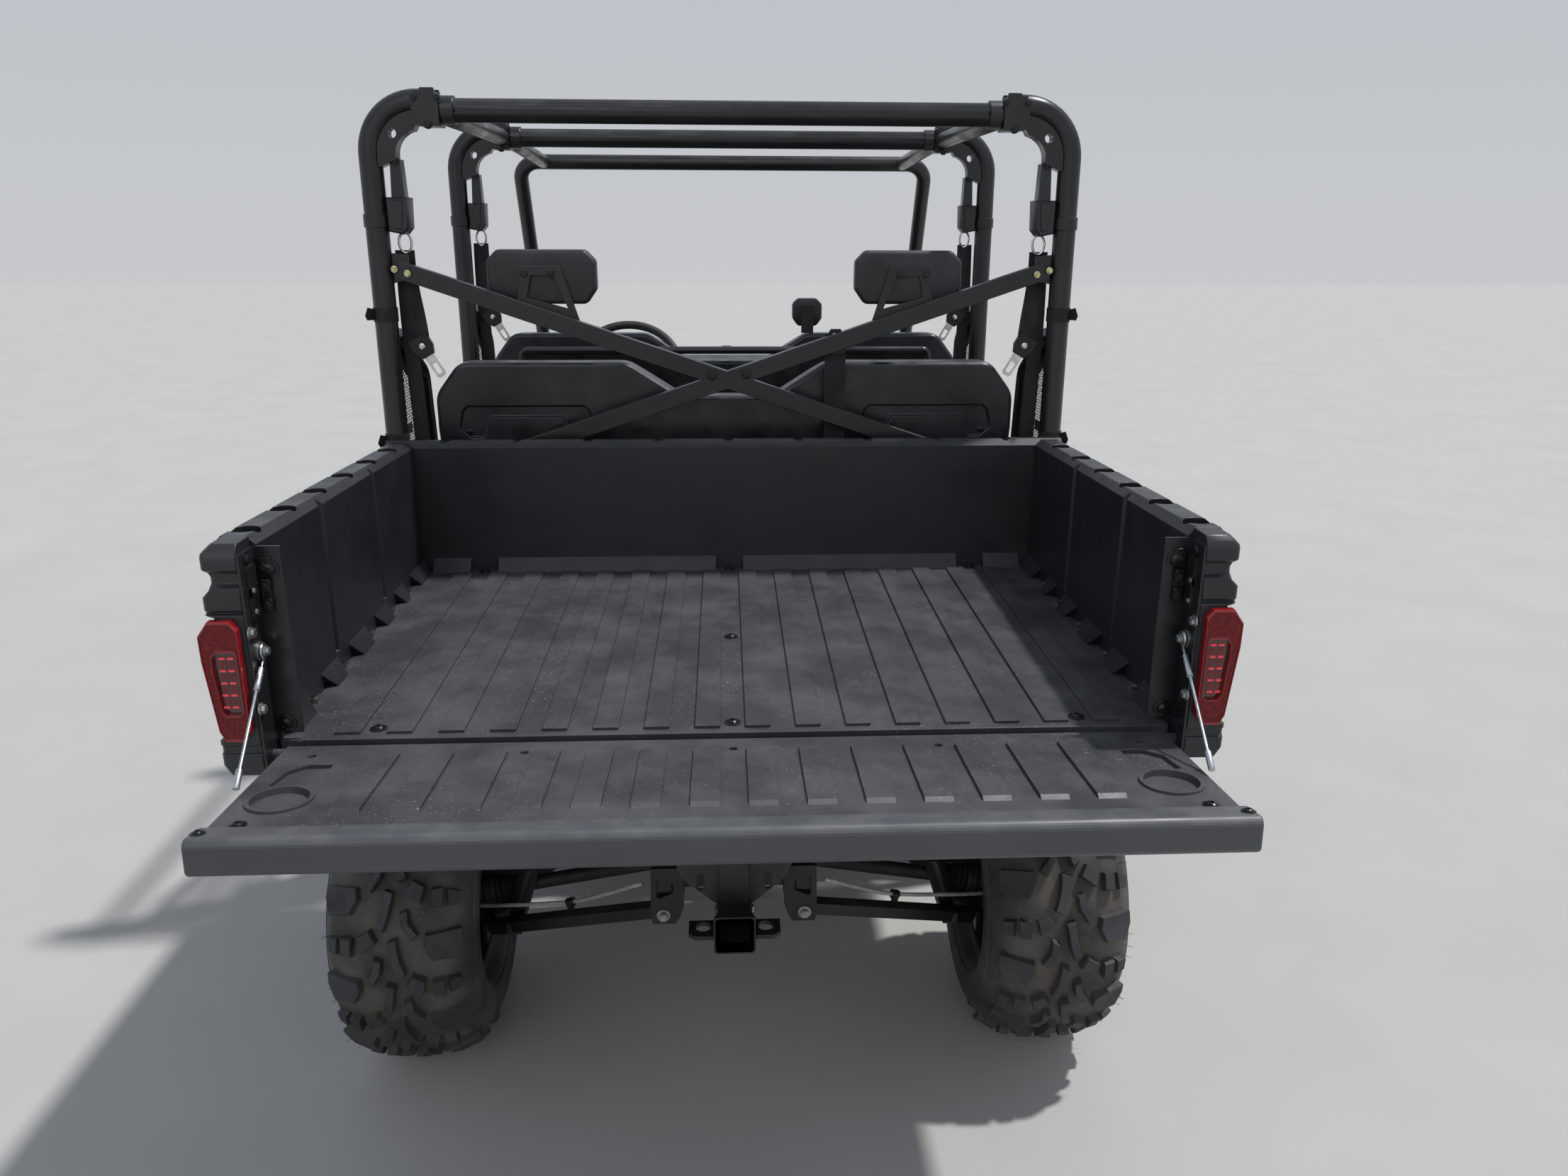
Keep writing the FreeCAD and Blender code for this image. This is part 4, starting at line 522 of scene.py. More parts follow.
def make_tyre(end, side, offset, station, width):
    """One tyre: rounded carcass with its beads, and the tread's lugs in pitches that alternate."""
    half = width / 2
    narrow = half / 140
    table = tyre_section(half)
    total = table[-1][0]
    wheel = (side * offset, station)
    bm = bmesh.new()
    wear = bm.verts.layers.float.new("wear")
    around = PITCHES * 4
    step = PITCHES * PITCH / around
    runs = [total * k / 24 for k in range(25)]
    across = [-run for run in runs[:0:-1]] + runs
    rings = []
    for k, angle in enumerate(turns(around)):
        ring = [bm.verts.new(tread_point(table, wheel, u, k * step, 0)) for u in across]
        for x, r in ((96, 153), (88, 160), (0, 266), (-88, 160), (-96, 153)):
            y, z = station - r * math.cos(angle), TYRE_RADIUS - r * math.sin(angle)
            ring.append(bm.verts.new(at(wheel[0] + x, y, z)))
        rings.append(ring)
    for a, b in zip(rings[-1:] + rings[:-1], rings):
        join(bm, a, b)
    for pitch in range(PITCHES):
        way = 1 if pitch % 2 else -1
        for rows, high in LUGS:
            loop = [left for left, right in rows] + [right for left, right in rows[::-1]]
            loop = [(u * way * narrow, w + pitch * PITCH) for u, w in loop]
            middle = (sum(p[0] for p in loop) / len(loop), sum(p[1] for p in loop) / len(loop))
            levels = []
            for grow, height, worn in ((2.5, -2, 0.0), (0.4, high - 3, 0.55), (0, high - 1.6, 0.9), (-1.6, high, 1.0)):
                levels.append([])
                for u, w in loop:
                    du, dw = u - middle[0], w - middle[1]
                    size = math.hypot(du, dw)
                    vert = bm.verts.new(tread_point(table, wheel, u + du / size * grow, w + dw / size * grow, height))
                    vert[wear] = worn
                    levels[-1].append(vert)
            for a, b in zip(levels, levels[1:]):
                join(bm, a, b)
            top = levels[-1]
            for j in range(len(rows) - 1):
                bm.faces.new((top[j], top[j + 1], top[-2 - j], top[-1 - j]))
        for k in range(3):
            # moulding hairs on the shoulders
            u = way * DETAIL.uniform(104, 122) * narrow
            w = pitch * PITCH + DETAIL.uniform(0, 90)
            foot = tread_point(table, wheel, u, w, 2)
            tip = tread_point(table, wheel, u + way * 3, w + DETAIL.uniform(-4, 4), 23)
            lathe(bm, foot, tip - foot, [(0, 0.7), (20, 0.35)], 4)
    for sign in SIDES:
        for share, high in ((0.60, 1.6), (0.64, 1.2), (0.80, 1.4)):
            ribs = [[bm.verts.new(tread_point(table, wheel, sign * (total * share + d), k * step, h))
                     for d, h in ((-1.6, -0.5), (0, high), (1.6, -0.5))] for k in range(around)]
            for a, b in zip(ribs[-1:] + ribs[:-1], ribs):
                join(bm, a, b)
    name = SIDES[side]
    piece(f"{end}_tyre_{name}_tread", bm, f"wheel_{end}_{name}", "tyre", 28, f"{end}_tyre_{name}")


for end, offset, station, width in (("rear", 627, 435, 280), ("front", 640, 3305, 254)):
    both(lambda side: make_tyre(end, side, offset, station, width))


# Bed and tailgate fittings

GATE_TILT, GATE_HINGE = math.radians(-4), (-20, 856)


def on_gate(x, y, z):
    """A point given in the tailgate's own level frame about its hinge."""
    (station, height), cos, sin = GATE_HINGE, math.cos(GATE_TILT), math.sin(GATE_TILT)
    return at(x, station + y * cos - z * sin, height + y * sin + z * cos)


def make_lamp(side):
    """A tail light: bezel, reflector field, sunk window and its rows of diodes."""
    outer, low, high = BED_OUTER, 898.5, 1091.5
    outline = [(outer - 40, high), (outer - 8, high), (outer + 8, high - 22), (outer + 8, high - 60),
               (outer - 4, low + 16), (outer - 12, low), (outer - 38, low), (outer - 50, low + 16),
               (outer - 50, high - 14)]
    top, base = high - 49, low + 44
    window = [(outer - 40, top), (outer - 14, top), (outer - 8, top - 8), (outer - 8, top - 30), (outer - 13, base + 8),
              (outer - 19, base), (outer - 38, base), (outer - 44, base + 8), (outer - 44, top - 8)]
    centre = Vector((outer - 22, (low + high) / 2))
    bezel, field, glass, diode = range(4)
    rear, edge, inset = -66, -64.6, -58.4

    def level(points, grow, y):
        moved = [Vector(p) + (Vector(p) - centre).normalized() * grow for p in points]
        return [bm.verts.new(p) for p in flank(side, moved, y)]

    bm = bmesh.new()
    before = first = level(outline, 0, POST_FACE - 0.3)
    for points, grow, y, look in ((outline, 0, edge, bezel), (outline, -1.2, rear, bezel), (outline, -4, rear, bezel),
                                  (outline, -5, edge, bezel), (window, 4, edge, field), (window, 2.6, rear, bezel),
                                  (window, 0.6, rear, bezel), (window, 0, -58.5, bezel)):
        ring = level(points, grow, y)
        join(bm, before, ring, look)
        before = ring
    bm.faces.new(first)
    bm.faces.new(before).material_index = glass
    wrap = [(outer - 13.7, low), (outer - 13.7, high), (outer + 4, high - 22), (outer - 4, low + 20)]
    slab(bm, flank(side, wrap, POST_FACE - 0.3), (0, 0.034, 0), 2)
    for row in range(5):
        for column in range(2):
            x = outer - 33.5 + column * 13 + 0.6 * row
            z = top - 10 - row * 19.6
            spot = [(x - 4.6, z - 1.8), (x + 4.6, z - 1.8), (x + 4.6, z + 1.8), (x - 4.6, z + 1.8)]
            slab(bm, flank(side, spot, inset), (0, -0.003, 0), 1, diode)
            for k in range(4 if row < 4 else 0):
                px = x - 4.4 + k * 2.9
                slash = [(px, z - 5), (px + 1.1, z - 5), (px - 1.6, z - 15), (px - 2.7, z - 15)]
                slab(bm, flank(side, slash, inset), (0, -0.0008, 0))
    piece(f"tail_light_{SIDES[side]}", bm, "cargo_box", ["red_lens", "red_field", "lamp_window", "diode"],
          stands_for="tail_lights")


both(make_lamp)


def bed_fittings():
    """Bolts of the floor, the latch plates and the keepers, and the eyes of the tailgate's cables."""
    black = group("bed_bolts", "cargo_box", "bolt_black", "black_steel")
    zinc = group("bed_zinc_bolts", "cargo_box", "bolt_grey", "brushed_metal")
    steel = group("bed_cable_eyes", "cargo_box", "cable", "wire_rope")
    for x, y in ((-572.5, 38), (0, 38), (572.5, 38), (0, 450), (-572.5, 921), (0, 921), (572.5, 921)):
        button_bolt(black, at(x, y, GROOVE), (0, 0, 1), 11, 5)
    for side in SIDES:
        inward = (-side, 0, 0)
        for z in (1067, 944):
            hex_bolt(zinc, at(side * LATCH_FACE, -44, z), inward, 7.5, 6)
        button_bolt(black, at(side * LATCH_FACE, -24, 1176), inward, 8)
        for x, z in ((699, 1152), (704, 898)):
            button_bolt(black, at(side * x, 5.3, z), BACKWARD, 13, 6)
        for z in (1129, 1096):
            lathe(zinc, at(side * 710.5, -30, z), inward, [(-1, 4.4), (1.4, 4.4), (2, 3.2)], 16)
        for y, z, wide, high, top in ((-6, 1128, 6, 2.5, 4.8), (-6, 1098, 7, 2, 5.8), (1.5, 1156, 7.5, 3, 6.5)):
            lathe(black, at(side * 704, y, z), BACKWARD, [(-1, wide), (high, wide), (high + 1, top)], 4, math.pi / 4)
        lathe(zinc, at(side * LATCH_FACE, -22, 1030), inward, [(-1, 15), (2.2, 15), (2.8, 13.8)], 24)
        hex_bolt(zinc, at(side * 709, -22, 1030), inward, 6.5, 4.5, 1.2)
        ring = [at(side * 712.5, -22 + 10.5 * math.cos(a), 1030 + 10.5 * math.sin(a)) for a in turns(20)]
        sweep(steel, ring, 2.6, 8, closed=True)


bed_fittings()


def gate_fittings():
    """Bolts of the tailgate's panel and lip, and rubber stops in its edge."""
    black = group("gate_bolts", "tailgate", "bolt_black", "black_steel")
    up = (0, -math.sin(GATE_TILT), math.cos(GATE_TILT))
    for side in SIDES:
        button_bolt(black, on_gate(side * 663, -281, 10), up, 10, 4)
        button_bolt(black, on_gate(side * 696, -322, 18), up, 8, 4)
    for k in (-2, -1, 0, 1, 2):
        lathe(black, on_gate(k * 324, -24, 4), up, [(0, 6.8), (1, 6.8), (2, 5)], 16)


gate_fittings()


def cage_fittings():
    """Bolts, fabric straps and buckles on the cage."""
    bolt = group("cage_bolts", "chassis", "bolt_yellow", "brushed_metal")
    black = group("cage_black_bolts", "chassis", "bolt_black", "black_steel")
    strap = group("leg_straps", "chassis", "webbing", "webbing")
    for side in SIDES:
        for x, z in ((737, 1552), (709, 1543), (737, 1061), (709, 1070)):
            hex_bolt(bolt, at(side * x, 994.5, z), BACKWARD, 5.6, 5)
        for x in (-457, -398):
            hex_bolt(black, at(x if side < 0 else -x, 1024.5, 1542), BACKWARD, 7, 4.5)
        for station in HOOPS:
            for x, ahead, z, size, high in ((634, 29.5, 1852, 7.5, 5), (716.7, 8, 1778, 7.5, 5), (660, 30, 1905, 6, 4),
                                            (612, 30, 1905, 6, 4)):
                hex_bolt(black, at(side * x, station - ahead, z), BACKWARD, size, high)
        for bottom, top in ((1437, 1468), (1150, 1182)):
            lathe_ring(strap, at(side * 770, HOOPS[0], bottom), top - bottom, 27.2, 25.2)
            tail = [(0, 0), (17, 6), (24, -12), (20, -22), (0, -22)]
            slab(strap, [at(side * (788 + x * 0.7), 996 - x, top - 4 + z) for x, z in tail], (0, 0.002, 0))
    for x, z in ((-36, 1317.1), (44, 1319.8)):
        hex_bolt(black, at(x, 995, z), BACKWARD, 9, 6)
    for centre in (-479, 479):
        for x in (-140, 140):
            button_bolt(black, at(centre + x * 0.98, 1076, 1174), BACKWARD, 6, 3)


def lathe_ring(bm, start, tall, outer, inner, sides=28):
    """An upright band round a tube."""
    loft(bm, [[start + Vector((math.cos(a) * radius, math.sin(a) * radius, z)) / 1000 for a in turns(sides)]
              for radius, z in ((outer, 0), (outer, tall), (inner, tall), (inner, 0))], closed=True)


cage_fittings()


def frames(bm, levels):
    """A flat frame from its outer and inner outline at two depths."""
    made = []
    for outer, inner in levels:
        made.append([[bm.verts.new(p) for p in outline] for outline in (outer, inner)])
        join(bm, *made[-1])
    for low, high in zip(*made):
        join(bm, low, high)


def make_belts():
    """Shoulder belts: steel hooks, moulded covers, webbing with its sewn ends, and bright tongues."""
    cover, webbing, metal, dark = bmesh.new(), bmesh.new(), bmesh.new(), bmesh.new()
    high, x = 1763.7, 697.7
    lean = math.radians(30)
    neck = [(x + 8, high + 18), (x + 30, high + 18), (x + 34, high - 74), (x + 4, high - 74)]
    shell = [(x - 2, high - 60), (741.7, high - 60), (741.7, high - 132), (x + 12, high - 138), (x, high - 124)]
    crease = [(x + 8, high - 66), (x + 30, high - 66), (x + 26, high - 126), (x + 14, high - 128)]
    for station in HOOPS:
        for side in SIDES:
            y = station + 22
            hook = [at(side * (x + 24), station + ahead, high + up) for ahead, up in
                    ((24.6, -30), (24.6, 30), (22, 40), (19, 38))]
            sweep(dark, smooth_line(hook, 4), 5, 8)
            slab(cover, flank(side, neck, station - 8), (0, 0.036, 0), 3)
            slab(cover, flank(side, shell, station + 36), (0, -0.054, 0), 4)
            slab(cover, flank(side, crease, station - 18), (0, -0.003, 0), 2)
            loop = [(x + 21 + 14 * math.cos(a), high - 156 + 22 * math.sin(a)) for a in turns(20)]
            sweep(metal, flank(side, loop, y + 4), 3, 8, closed=True)
            for x0, x1, drop, width in ((x + 21, x + 8, high - 372, 19), (x + 28, x + 26, high - 640, 17)):
                rows = []
                for k in range(11):
                    t = k / 10
                    cx = x0 + (x1 - x0) * t + 3 * math.sin(t * 5)
                    cy = y + 5 + 2 * math.sin(t * 4 + side)
                    cz = high - 172 + (drop - (high - 172)) * t
                    rows.append([at(side * (cx + a), cy + b, cz) for a, b in
                                 ((-width, -0.7), (width, -0.7), (width, 0.9), (-width, 0.9))])
                loft(webbing, rows)

            def q(across, down, depth):
                a = x + 10 - across * math.cos(lean) - down * math.sin(lean)
                z = high - 372 - down * math.cos(lean) + across * math.sin(lean)
                return at(side * a, y + 5 + depth, z)
            body = [(-24, -8), (24, -8), (24, 22), (14, 40), (-14, 40), (-24, 22)]
            slab(dark, [q(a, d, -6) for a, d in body], q(0, 0, 12) - q(0, 0, 0), 2)
            plate = [(-12, 34), (12, 34), (11, 88), (7, 94), (-7, 94), (-11, 88)]
            hole = [(-6, 60), (6, 60), (6, 82), (3, 86), (-3, 86), (-6, 82)]
            frames(metal, [[[q(a, d, depth) for a, d in outline] for outline in (plate, hole)]
                           for depth in (-1.5, 1.5)])
            lathe(metal, q(0, 14, -6), q(0, 0, -10) - q(0, 0, 0), [(-1, 7), (1.5, 7), (2, 6)], 16)
    buckle = [(230, 1363), (275, 1363), (275, 1400), (264, 1419), (241, 1419), (230, 1400)]
    slab(dark, flank(1, buckle, 1024.8), (0, 0.005, 0), 1)
    slab(webbing, flank(1, [(228, 900), (277, 900), (277, 1408), (228, 1408)], 1029.8), (0, 0.003, 0))
    lathe(dark, at(252, 1024.8, 1398), BACKWARD, [(-1, 17), (3, 17), (5, 15)], 24)
    hex_bolt(metal, at(252, 1020, 1398), BACKWARD, 9, 6)
    for name, bm, look, slot in (("covers", cover, "smooth_plastic", "charcoal_plastic"),
                                 ("webbing", webbing, "webbing", "webbing"),
                                 ("tongues", metal, "zinc", "brushed_metal"),
                                 ("hooks", dark, "bolt_black", "black_steel")):
        piece(f"belt_{name}", bm, "chassis", look, stands_for="seat_belts")


make_belts()


def make_nets():
    """Side nets: a webbing border and a knotted mesh laced to the guard tube."""
    edge = bmesh.new()
    low, high, bend = 896, 1364, 1262
    for number, station in enumerate(HOOPS):
        for side in SIDES:
            y, x = station + 20, 786.3
            outline = [(860, 0), (1398, 0), (1398, 75), (1288, 262), (860, 318)]
            inside = [(900, 34), (1360, 34), (1360, 62), (bend, 228), (900, 276)]
            frames(edge, [[[at(side * (x + depth), y + b, a) for a, b in border] for border in (outline, inside)]
                          for depth in (0, 3)])
            for z in (1010, 1150):
                end = 250 - (z - 900) * 0.25
                band = [at(side * (x + 2.6), y + b, a) for a, b in ((z, 4), (z + 26, 4), (z + 26, end), (z, end))]
                slab(edge, band, (side * 0.0012, 0, 0))
            bm = bmesh.new()
            rows = []
            for i in range(17):
                t = i / 16
                z = low + (high - low) * t
                far = 280 - max(0, z - 900) * 48 / 362 if z < bend else 232 - (z - bend) * 166 / 98
                far = max(far, 60)
                row = []
                for j in range(9):
                    s = j / 8
                    sag = 4 * math.sin(math.pi * s) * math.sin(math.pi * t)
                    row.append(bm.verts.new(at(side * (x + 1.5 + sag), y + 30 + (far - 26) * s, z)))
                rows.append(row)
            weave(bm, rows)
            area = sum(face.calc_area() for face in bm.faces)
            name = f"net_{SEATS[number][0]}_{SIDES[side]}"
            net = piece(name, bm, "chassis", "net", stands_for="side_nets")
    piece("net_borders", edge, "chassis", "webbing", stands_for="side_nets")


make_nets()


# Seats

def make_cushion(row, station):
    """A bench cushion: rounded sides that pull in between the corners, a crown, and sewn channels."""
    counts, radius, rise = (56, 18, 6), 26.0, 9
    start = station + 104.3
    low, high = (-662, start + 2, 776), (662, start + 438, 872)
    size = [h - l for l, h in zip(low, high)]
    middle = [(l + h) / 2 for l, h in zip(low, high)]
    bm = bmesh.new()
    grid = {}

    def place(index):
        if index in grid:
            return grid[index]
        u, v, w = (2 * i / n - 1 for i, n in zip(index, counts))
        spot = (u * size[0] / 2, v * size[1] / 2, w * size[2] / 2)
        inner = [max(-(s / 2 - radius), min(s / 2 - radius, c)) for s, c in zip(size, spot)]
        away = Vector([a - b for a, b in zip(spot, inner)])
        if away.length > 1e-6:
            away = away.normalized() * radius
        x, y, z = (a + b for a, b in zip(inner, away))
        # sides draw in between the corners
        x -= math.copysign(5, u) * (1 - v * v) * abs(u) ** 8
        y -= math.copysign(5, v) * (1 - u * u) * abs(v) ** 8
        if w > 0:
            crown = rise * (1 - abs(u) ** 4) * (1 - abs(v) ** 4)
            for seam in SEAMS:
                crown -= 9 * math.exp(-((x - seam) / 9) ** 2)
            crown -= 6 * math.exp(-((y + size[1] * 0.30) / 8) ** 2)
            z += crown * w
        grid[index] = bm.verts.new(at(middle[0] + x, middle[1] + y, middle[2] + z))
        return grid[index]

    for axis, steps in enumerate(counts):
        a_count, b_count = [n for q, n in enumerate(counts) if q != axis]
        for fixed in (0, steps):
            for a in range(a_count):
                for b in range(b_count):
                    corners = []
                    for da, db in ((0, 0), (1, 0), (1, 1), (0, 1)):
                        index = [a + da, b + db]
                        index.insert(axis, fixed)
                        corners.append(place(tuple(index)))
                    bm.faces.new(corners)
    cushion = piece(f"{row}_cushion", bm, "chassis", "vinyl", 60, f"{row}_seat_base")
    smooth = cushion.modifiers.new("smooth", "SUBSURF")
    smooth.levels = smooth.render_levels = 1


for row, station in SEATS:
    make_cushion(row, station)


# Rear structure: frame, hitch, arms and what is bolted to them

def block(bm, low, high, side=1):
    """A box between two corners in millimetres, mirrored on the left."""
    (x0, y0, z0), (x1, y1, z1) = low, high
    corners = [at(side * x, y, z) for x, y, z in ((x0, y0, z0), (x1, y0, z0), (x1, y1, z0), (x0, y1, z0))]
    slab(bm, corners, (0, 0, (z1 - z0) / 1000))


def prism(bm, points, depth):
    """A prism from millimetre points and a depth."""
    slab(bm, [at(*p) for p in points], Vector(depth) / 1000)


def rod(bm, radius, start, end, sides=16):
    """A plain round bar."""
    start, end = at(*start), at(*end)
    long = (end - start).length * 1000
    lathe(bm, start, end - start, [(0, radius - 0.5), (0.5, radius), (long - 0.5, radius), (long, radius - 0.5)], sides)


def beam(bm, start, end, width, thick, up=(0, 1, 0)):
    """A square bar between two points."""
    start, end = at(*start), at(*end)
    along = (end - start).normalized()
    side = Vector(up) - along * along.dot(Vector(up))
    side.normalize()
    other = along.cross(side) * (width / 2000)
    side = side * (thick / 2000)
    slab(bm, [start + side + other, start + side - other, start - side - other, start - side + other], end - start)


def reach(outline, centre, angle):
    """Where a ray from the centre meets an outline."""
    wx, wy = math.cos(angle), math.sin(angle)
    best = 1e9
    for a, b in zip(outline, outline[1:] + outline[:1]):
        ex, ey = b[0] - a[0], b[1] - a[1]
        det = wx * ey - wy * ex
        if abs(det) < 1e-9:
            continue
        dx, dy = a[0] - centre[0], a[1] - centre[1]
        along, share = (dx * ey - dy * ex) / det, (dx * wy - dy * wx) / det
        if along > 0 and -1e-6 <= share <= 1 + 1e-6:
            best = min(best, along)
    return centre[0] + wx * best, centre[1] + wy * best


def holed(bm, place, outline, hole, depth):
    """A plate with one hole; place turns an outline's point into a point of the frame."""
    centre = (sum(p[0] for p in hole) / len(hole), sum(p[1] for p in hole) / len(hole))
    angles = sorted({round(math.atan2(p[1] - centre[1], p[0] - centre[0]), 4) for p in list(outline) + list(hole)})
    depth = Vector(depth) / 1000
    rings = []
    for shape in (outline, hole):
        points = [place(*reach(list(shape), centre, angle)) for angle in angles]
        rings.append(([bm.verts.new(p) for p in points], [bm.verts.new(p + depth) for p in points]))
    (a, b), (c, d) = rings
    for p, q in ((a, b), (b, d), (d, c), (c, a)):
        join(bm, p, q)


def circle(x, y, radius, count=20):
    """Points round a hole."""
    return [(x + radius * math.cos(angle), y + radius * math.sin(angle)) for angle in turns(count)]


# Heights of the main rails, the rear sub-rails, the upper rails and the bed's pivot, and the rails' two ends
RAIL_LOW, RAIL_HIGH, SUB_LOW, SUB_HIGH, UPPER_TOP, BED_PIVOT = 285, 349, 446, 500, 800, 772
RAIL_START, FRAME_END = 567, 3684


def rear_side(bm, side):
    """One side of the rear frame: sub-rail, strut, outrigger and the arms' pivot plates."""
    block(bm, (118, 211, SUB_LOW), (152, RAIL_START + 40, SUB_HIGH), side)
    block(bm, (118, RAIL_START - 7, RAIL_LOW + 12), (212.5, RAIL_START + 73, SUB_HIGH), side)
    beam(bm, (side * 135, 400, SUB_HIGH - 20), (side * 300, 190, UPPER_TOP - 20), 32, 32)
    x, z = 134, 400
    outline = [(x - 22, z - 19), (x + 20, z - 19), (x + 24, z - 4), (x + 22, SUB_HIGH), (x - 39, SUB_HIGH),
               (x - 39, z + 20), (x - 30, z - 8)]
    window = [(x + 7, z + 36), (x - 19, z + 48), (x - 19, z + 68), (x - 8, z + 78), (x + 12, z + 78), (x + 12, z + 40)]
    for station in (205, 250):
        holed(bm, lambda a, c, y=station: at(side * a, y, c), outline, window, (0, 6, 0))
    for station in (668, 706):
        block(bm, (211.5, station, RAIL_HIGH - 24), (303, station + 6, RAIL_HIGH + 16), side)
    for middle in (300, 530):
        for station in (middle - 24, middle + 18):
            block(bm, (150, station, 456), (202, station + 6, 492), side)
        rod(bm, 7, (side * 186, middle - 28, 474), (side * 186, middle + 28, 474))


def make_frame():
    """Main rails, cross members, uprights and upper rails, with the open rear end that the hitch stands in."""
    bm = bmesh.new()
    for side in SIDES:
        rear_side(bm, side)
        x, upper = side * 190, side * 300
        block(bm, (x - 22.5, RAIL_START, RAIL_LOW), (x + 22.5, FRAME_END, RAIL_HIGH))
        block(bm, (upper - 20, 76, UPPER_TOP - 40), (upper + 20, 1040, UPPER_TOP))
        for station in (RAIL_START + 43, 990):
            beam(bm, (x, station, RAIL_HIGH - 8), (upper, station, UPPER_TOP - 10), 40, 40)
        sill = side * 640
        block(bm, (sill - 20, 1000, 330), (sill + 20, 2860, 370))
        for station in HOOPS:
            block(bm, (630, station - 22, 330), (792, station + 22, 370), side)
        for station in (1012, 1440, 1872, 2330, 2800):
            block(bm, (x, station - 18, 322), (sill, station + 18, 358))
        beam(bm, (x, 3080, RAIL_HIGH - 6), (side * 260, 3080, 1078), 36, 36)
        beam(bm, (x, FRAME_END - 30, RAIL_HIGH - 6), (side * 230, FRAME_END - 30, 780), 34, 34)
        beam(bm, (side * 260, 3080, 985), (side * 230, FRAME_END - 30, 765), 30, 30, (1, 0, 0))
        horn = side * 202
        block(bm, (horn - 18, FRAME_END - 48, 440), (horn + 18, FRAME_END + 49.7, 500))
        pillar = side * 732
        beam(bm, (side * 256, 3095, 950), (pillar, 3130, 1010), 34, 34)
        block(bm, (pillar - 17, 3113, 990), (pillar + 17, 3147, 1096))
        block(bm, (side * 236, 3255, 870), (side * 350, 3295, 900))
        for gap in (-15, 15):
            middle = side * 300 + gap
            rod(bm, 22, (middle - 4, 70, BED_PIVOT), (middle + 4, 70, BED_PIVOT), 24)
            block(bm, (middle - 4, 50, BED_PIVOT - 20), (middle + 4, 140, BED_PIVOT + 14))
        rod(bm, 10, (side * 300 - 22, 70, BED_PIVOT), (side * 300 + 22, 70, BED_PIVOT))
    for station in (RAIL_START + 23, 960, 1440, 1900, 2400, 2860, 3060, 3395, 3540, FRAME_END - 20):
        block(bm, (-190, station - 18, RAIL_LOW + 8), (190, station + 18, RAIL_HIGH - 8))
    for station in (170, 1020):
        block(bm, (-300, station - 18, UPPER_TOP - 38), (300, station + 18, UPPER_TOP - 2))
    for station, low in ((239, SUB_LOW + 4), (435, 458)):
        block(bm, (-152, station - 18, low), (152, station + 18, SUB_HIGH - 4))
    rod(bm, 8, (-144, 700, 480), (-96, 700, 480))
    for x in (-142, -98):
        block(bm, (x - 3, 680, 345), (x + 3, 720, 498))
    block(bm, (-190, 680, 322), (-94, 720, 349))
    rod(bm, 16, (-140, 3395, 366), (140, 3395, 366), 20)
    for x in (-120, 90):
        block(bm, (x, 3381, RAIL_HIGH - 10), (x + 30, 3409, 366))
    piece("frame_rails", bm, "chassis", "frame_steel", stands_for="frame", edge=0.0022)


def make_hitch():
    """Socket with its rolled collar, post, slotted gussets and two shackle ears."""
    bm = bmesh.new()
    half, hole, z, mouth = 31.75, 25.6, 460, 45

    def square(size, count, corner):
        points = []
        for cx, cy, first in ((1, 1, 0), (-1, 1, 90), (-1, -1, 180), (1, -1, 270)):
            for k in range(count + 1):
                angle = math.radians(first + 90 * k / count)
                points.append((cx * (size - corner) + corner * math.cos(angle),
                               z + cy * (size - corner) + corner * math.sin(angle)))
        return points

    inner = square(hole, 3, 2.0)
    for size, depth in ((half, 175.7), (half + 2.5, 18), (half + 5, 9)):
        holed(bm, lambda a, c: at(a, mouth, c), square(size, 6, 7.0), inner, (0, depth, 0))
    block(bm, (-hole, 128, z - hole), (hole, 132, z + hole))
    block(bm, (-25, 100, z + 20), (25, 151.7, UPPER_TOP - 6))
    for side in SIDES:
        ear = [(half - 2, 57), (70, 57), (82, 68), (82, 107), (half - 2, 107)]
        holed(bm, lambda a, c: at(side * a, c, z - 16), ear, circle(56, 87, 14.5), (0, 0, 8))
        lower = [(24, z + 20), (34, z + 24), (94, z + 75), (100, z + 92), (24, z + 92)]
        upper = [(24, z + 92), (100, z + 92), (104, z + 104), (104, z + 240), (24, z + 240)]
        for outline, x, height in ((lower, 60, z + 68), (upper, 52, z + 122)):
            slot = []
            for turn in (*range(0, 181, 30), *range(180, 361, 30)):
                a = math.radians(turn)
                slot.append((x + 7 * math.cos(a), height + (10 if turn < 180 else -10) + 7 * math.sin(a)))
            holed(bm, lambda a, c: at(side * a, 112, c), outline, slot, (0, 6, 0))
    piece("hitch_receiver", bm, "chassis", "frame_steel", stands_for="hitch", edge=0.0012)


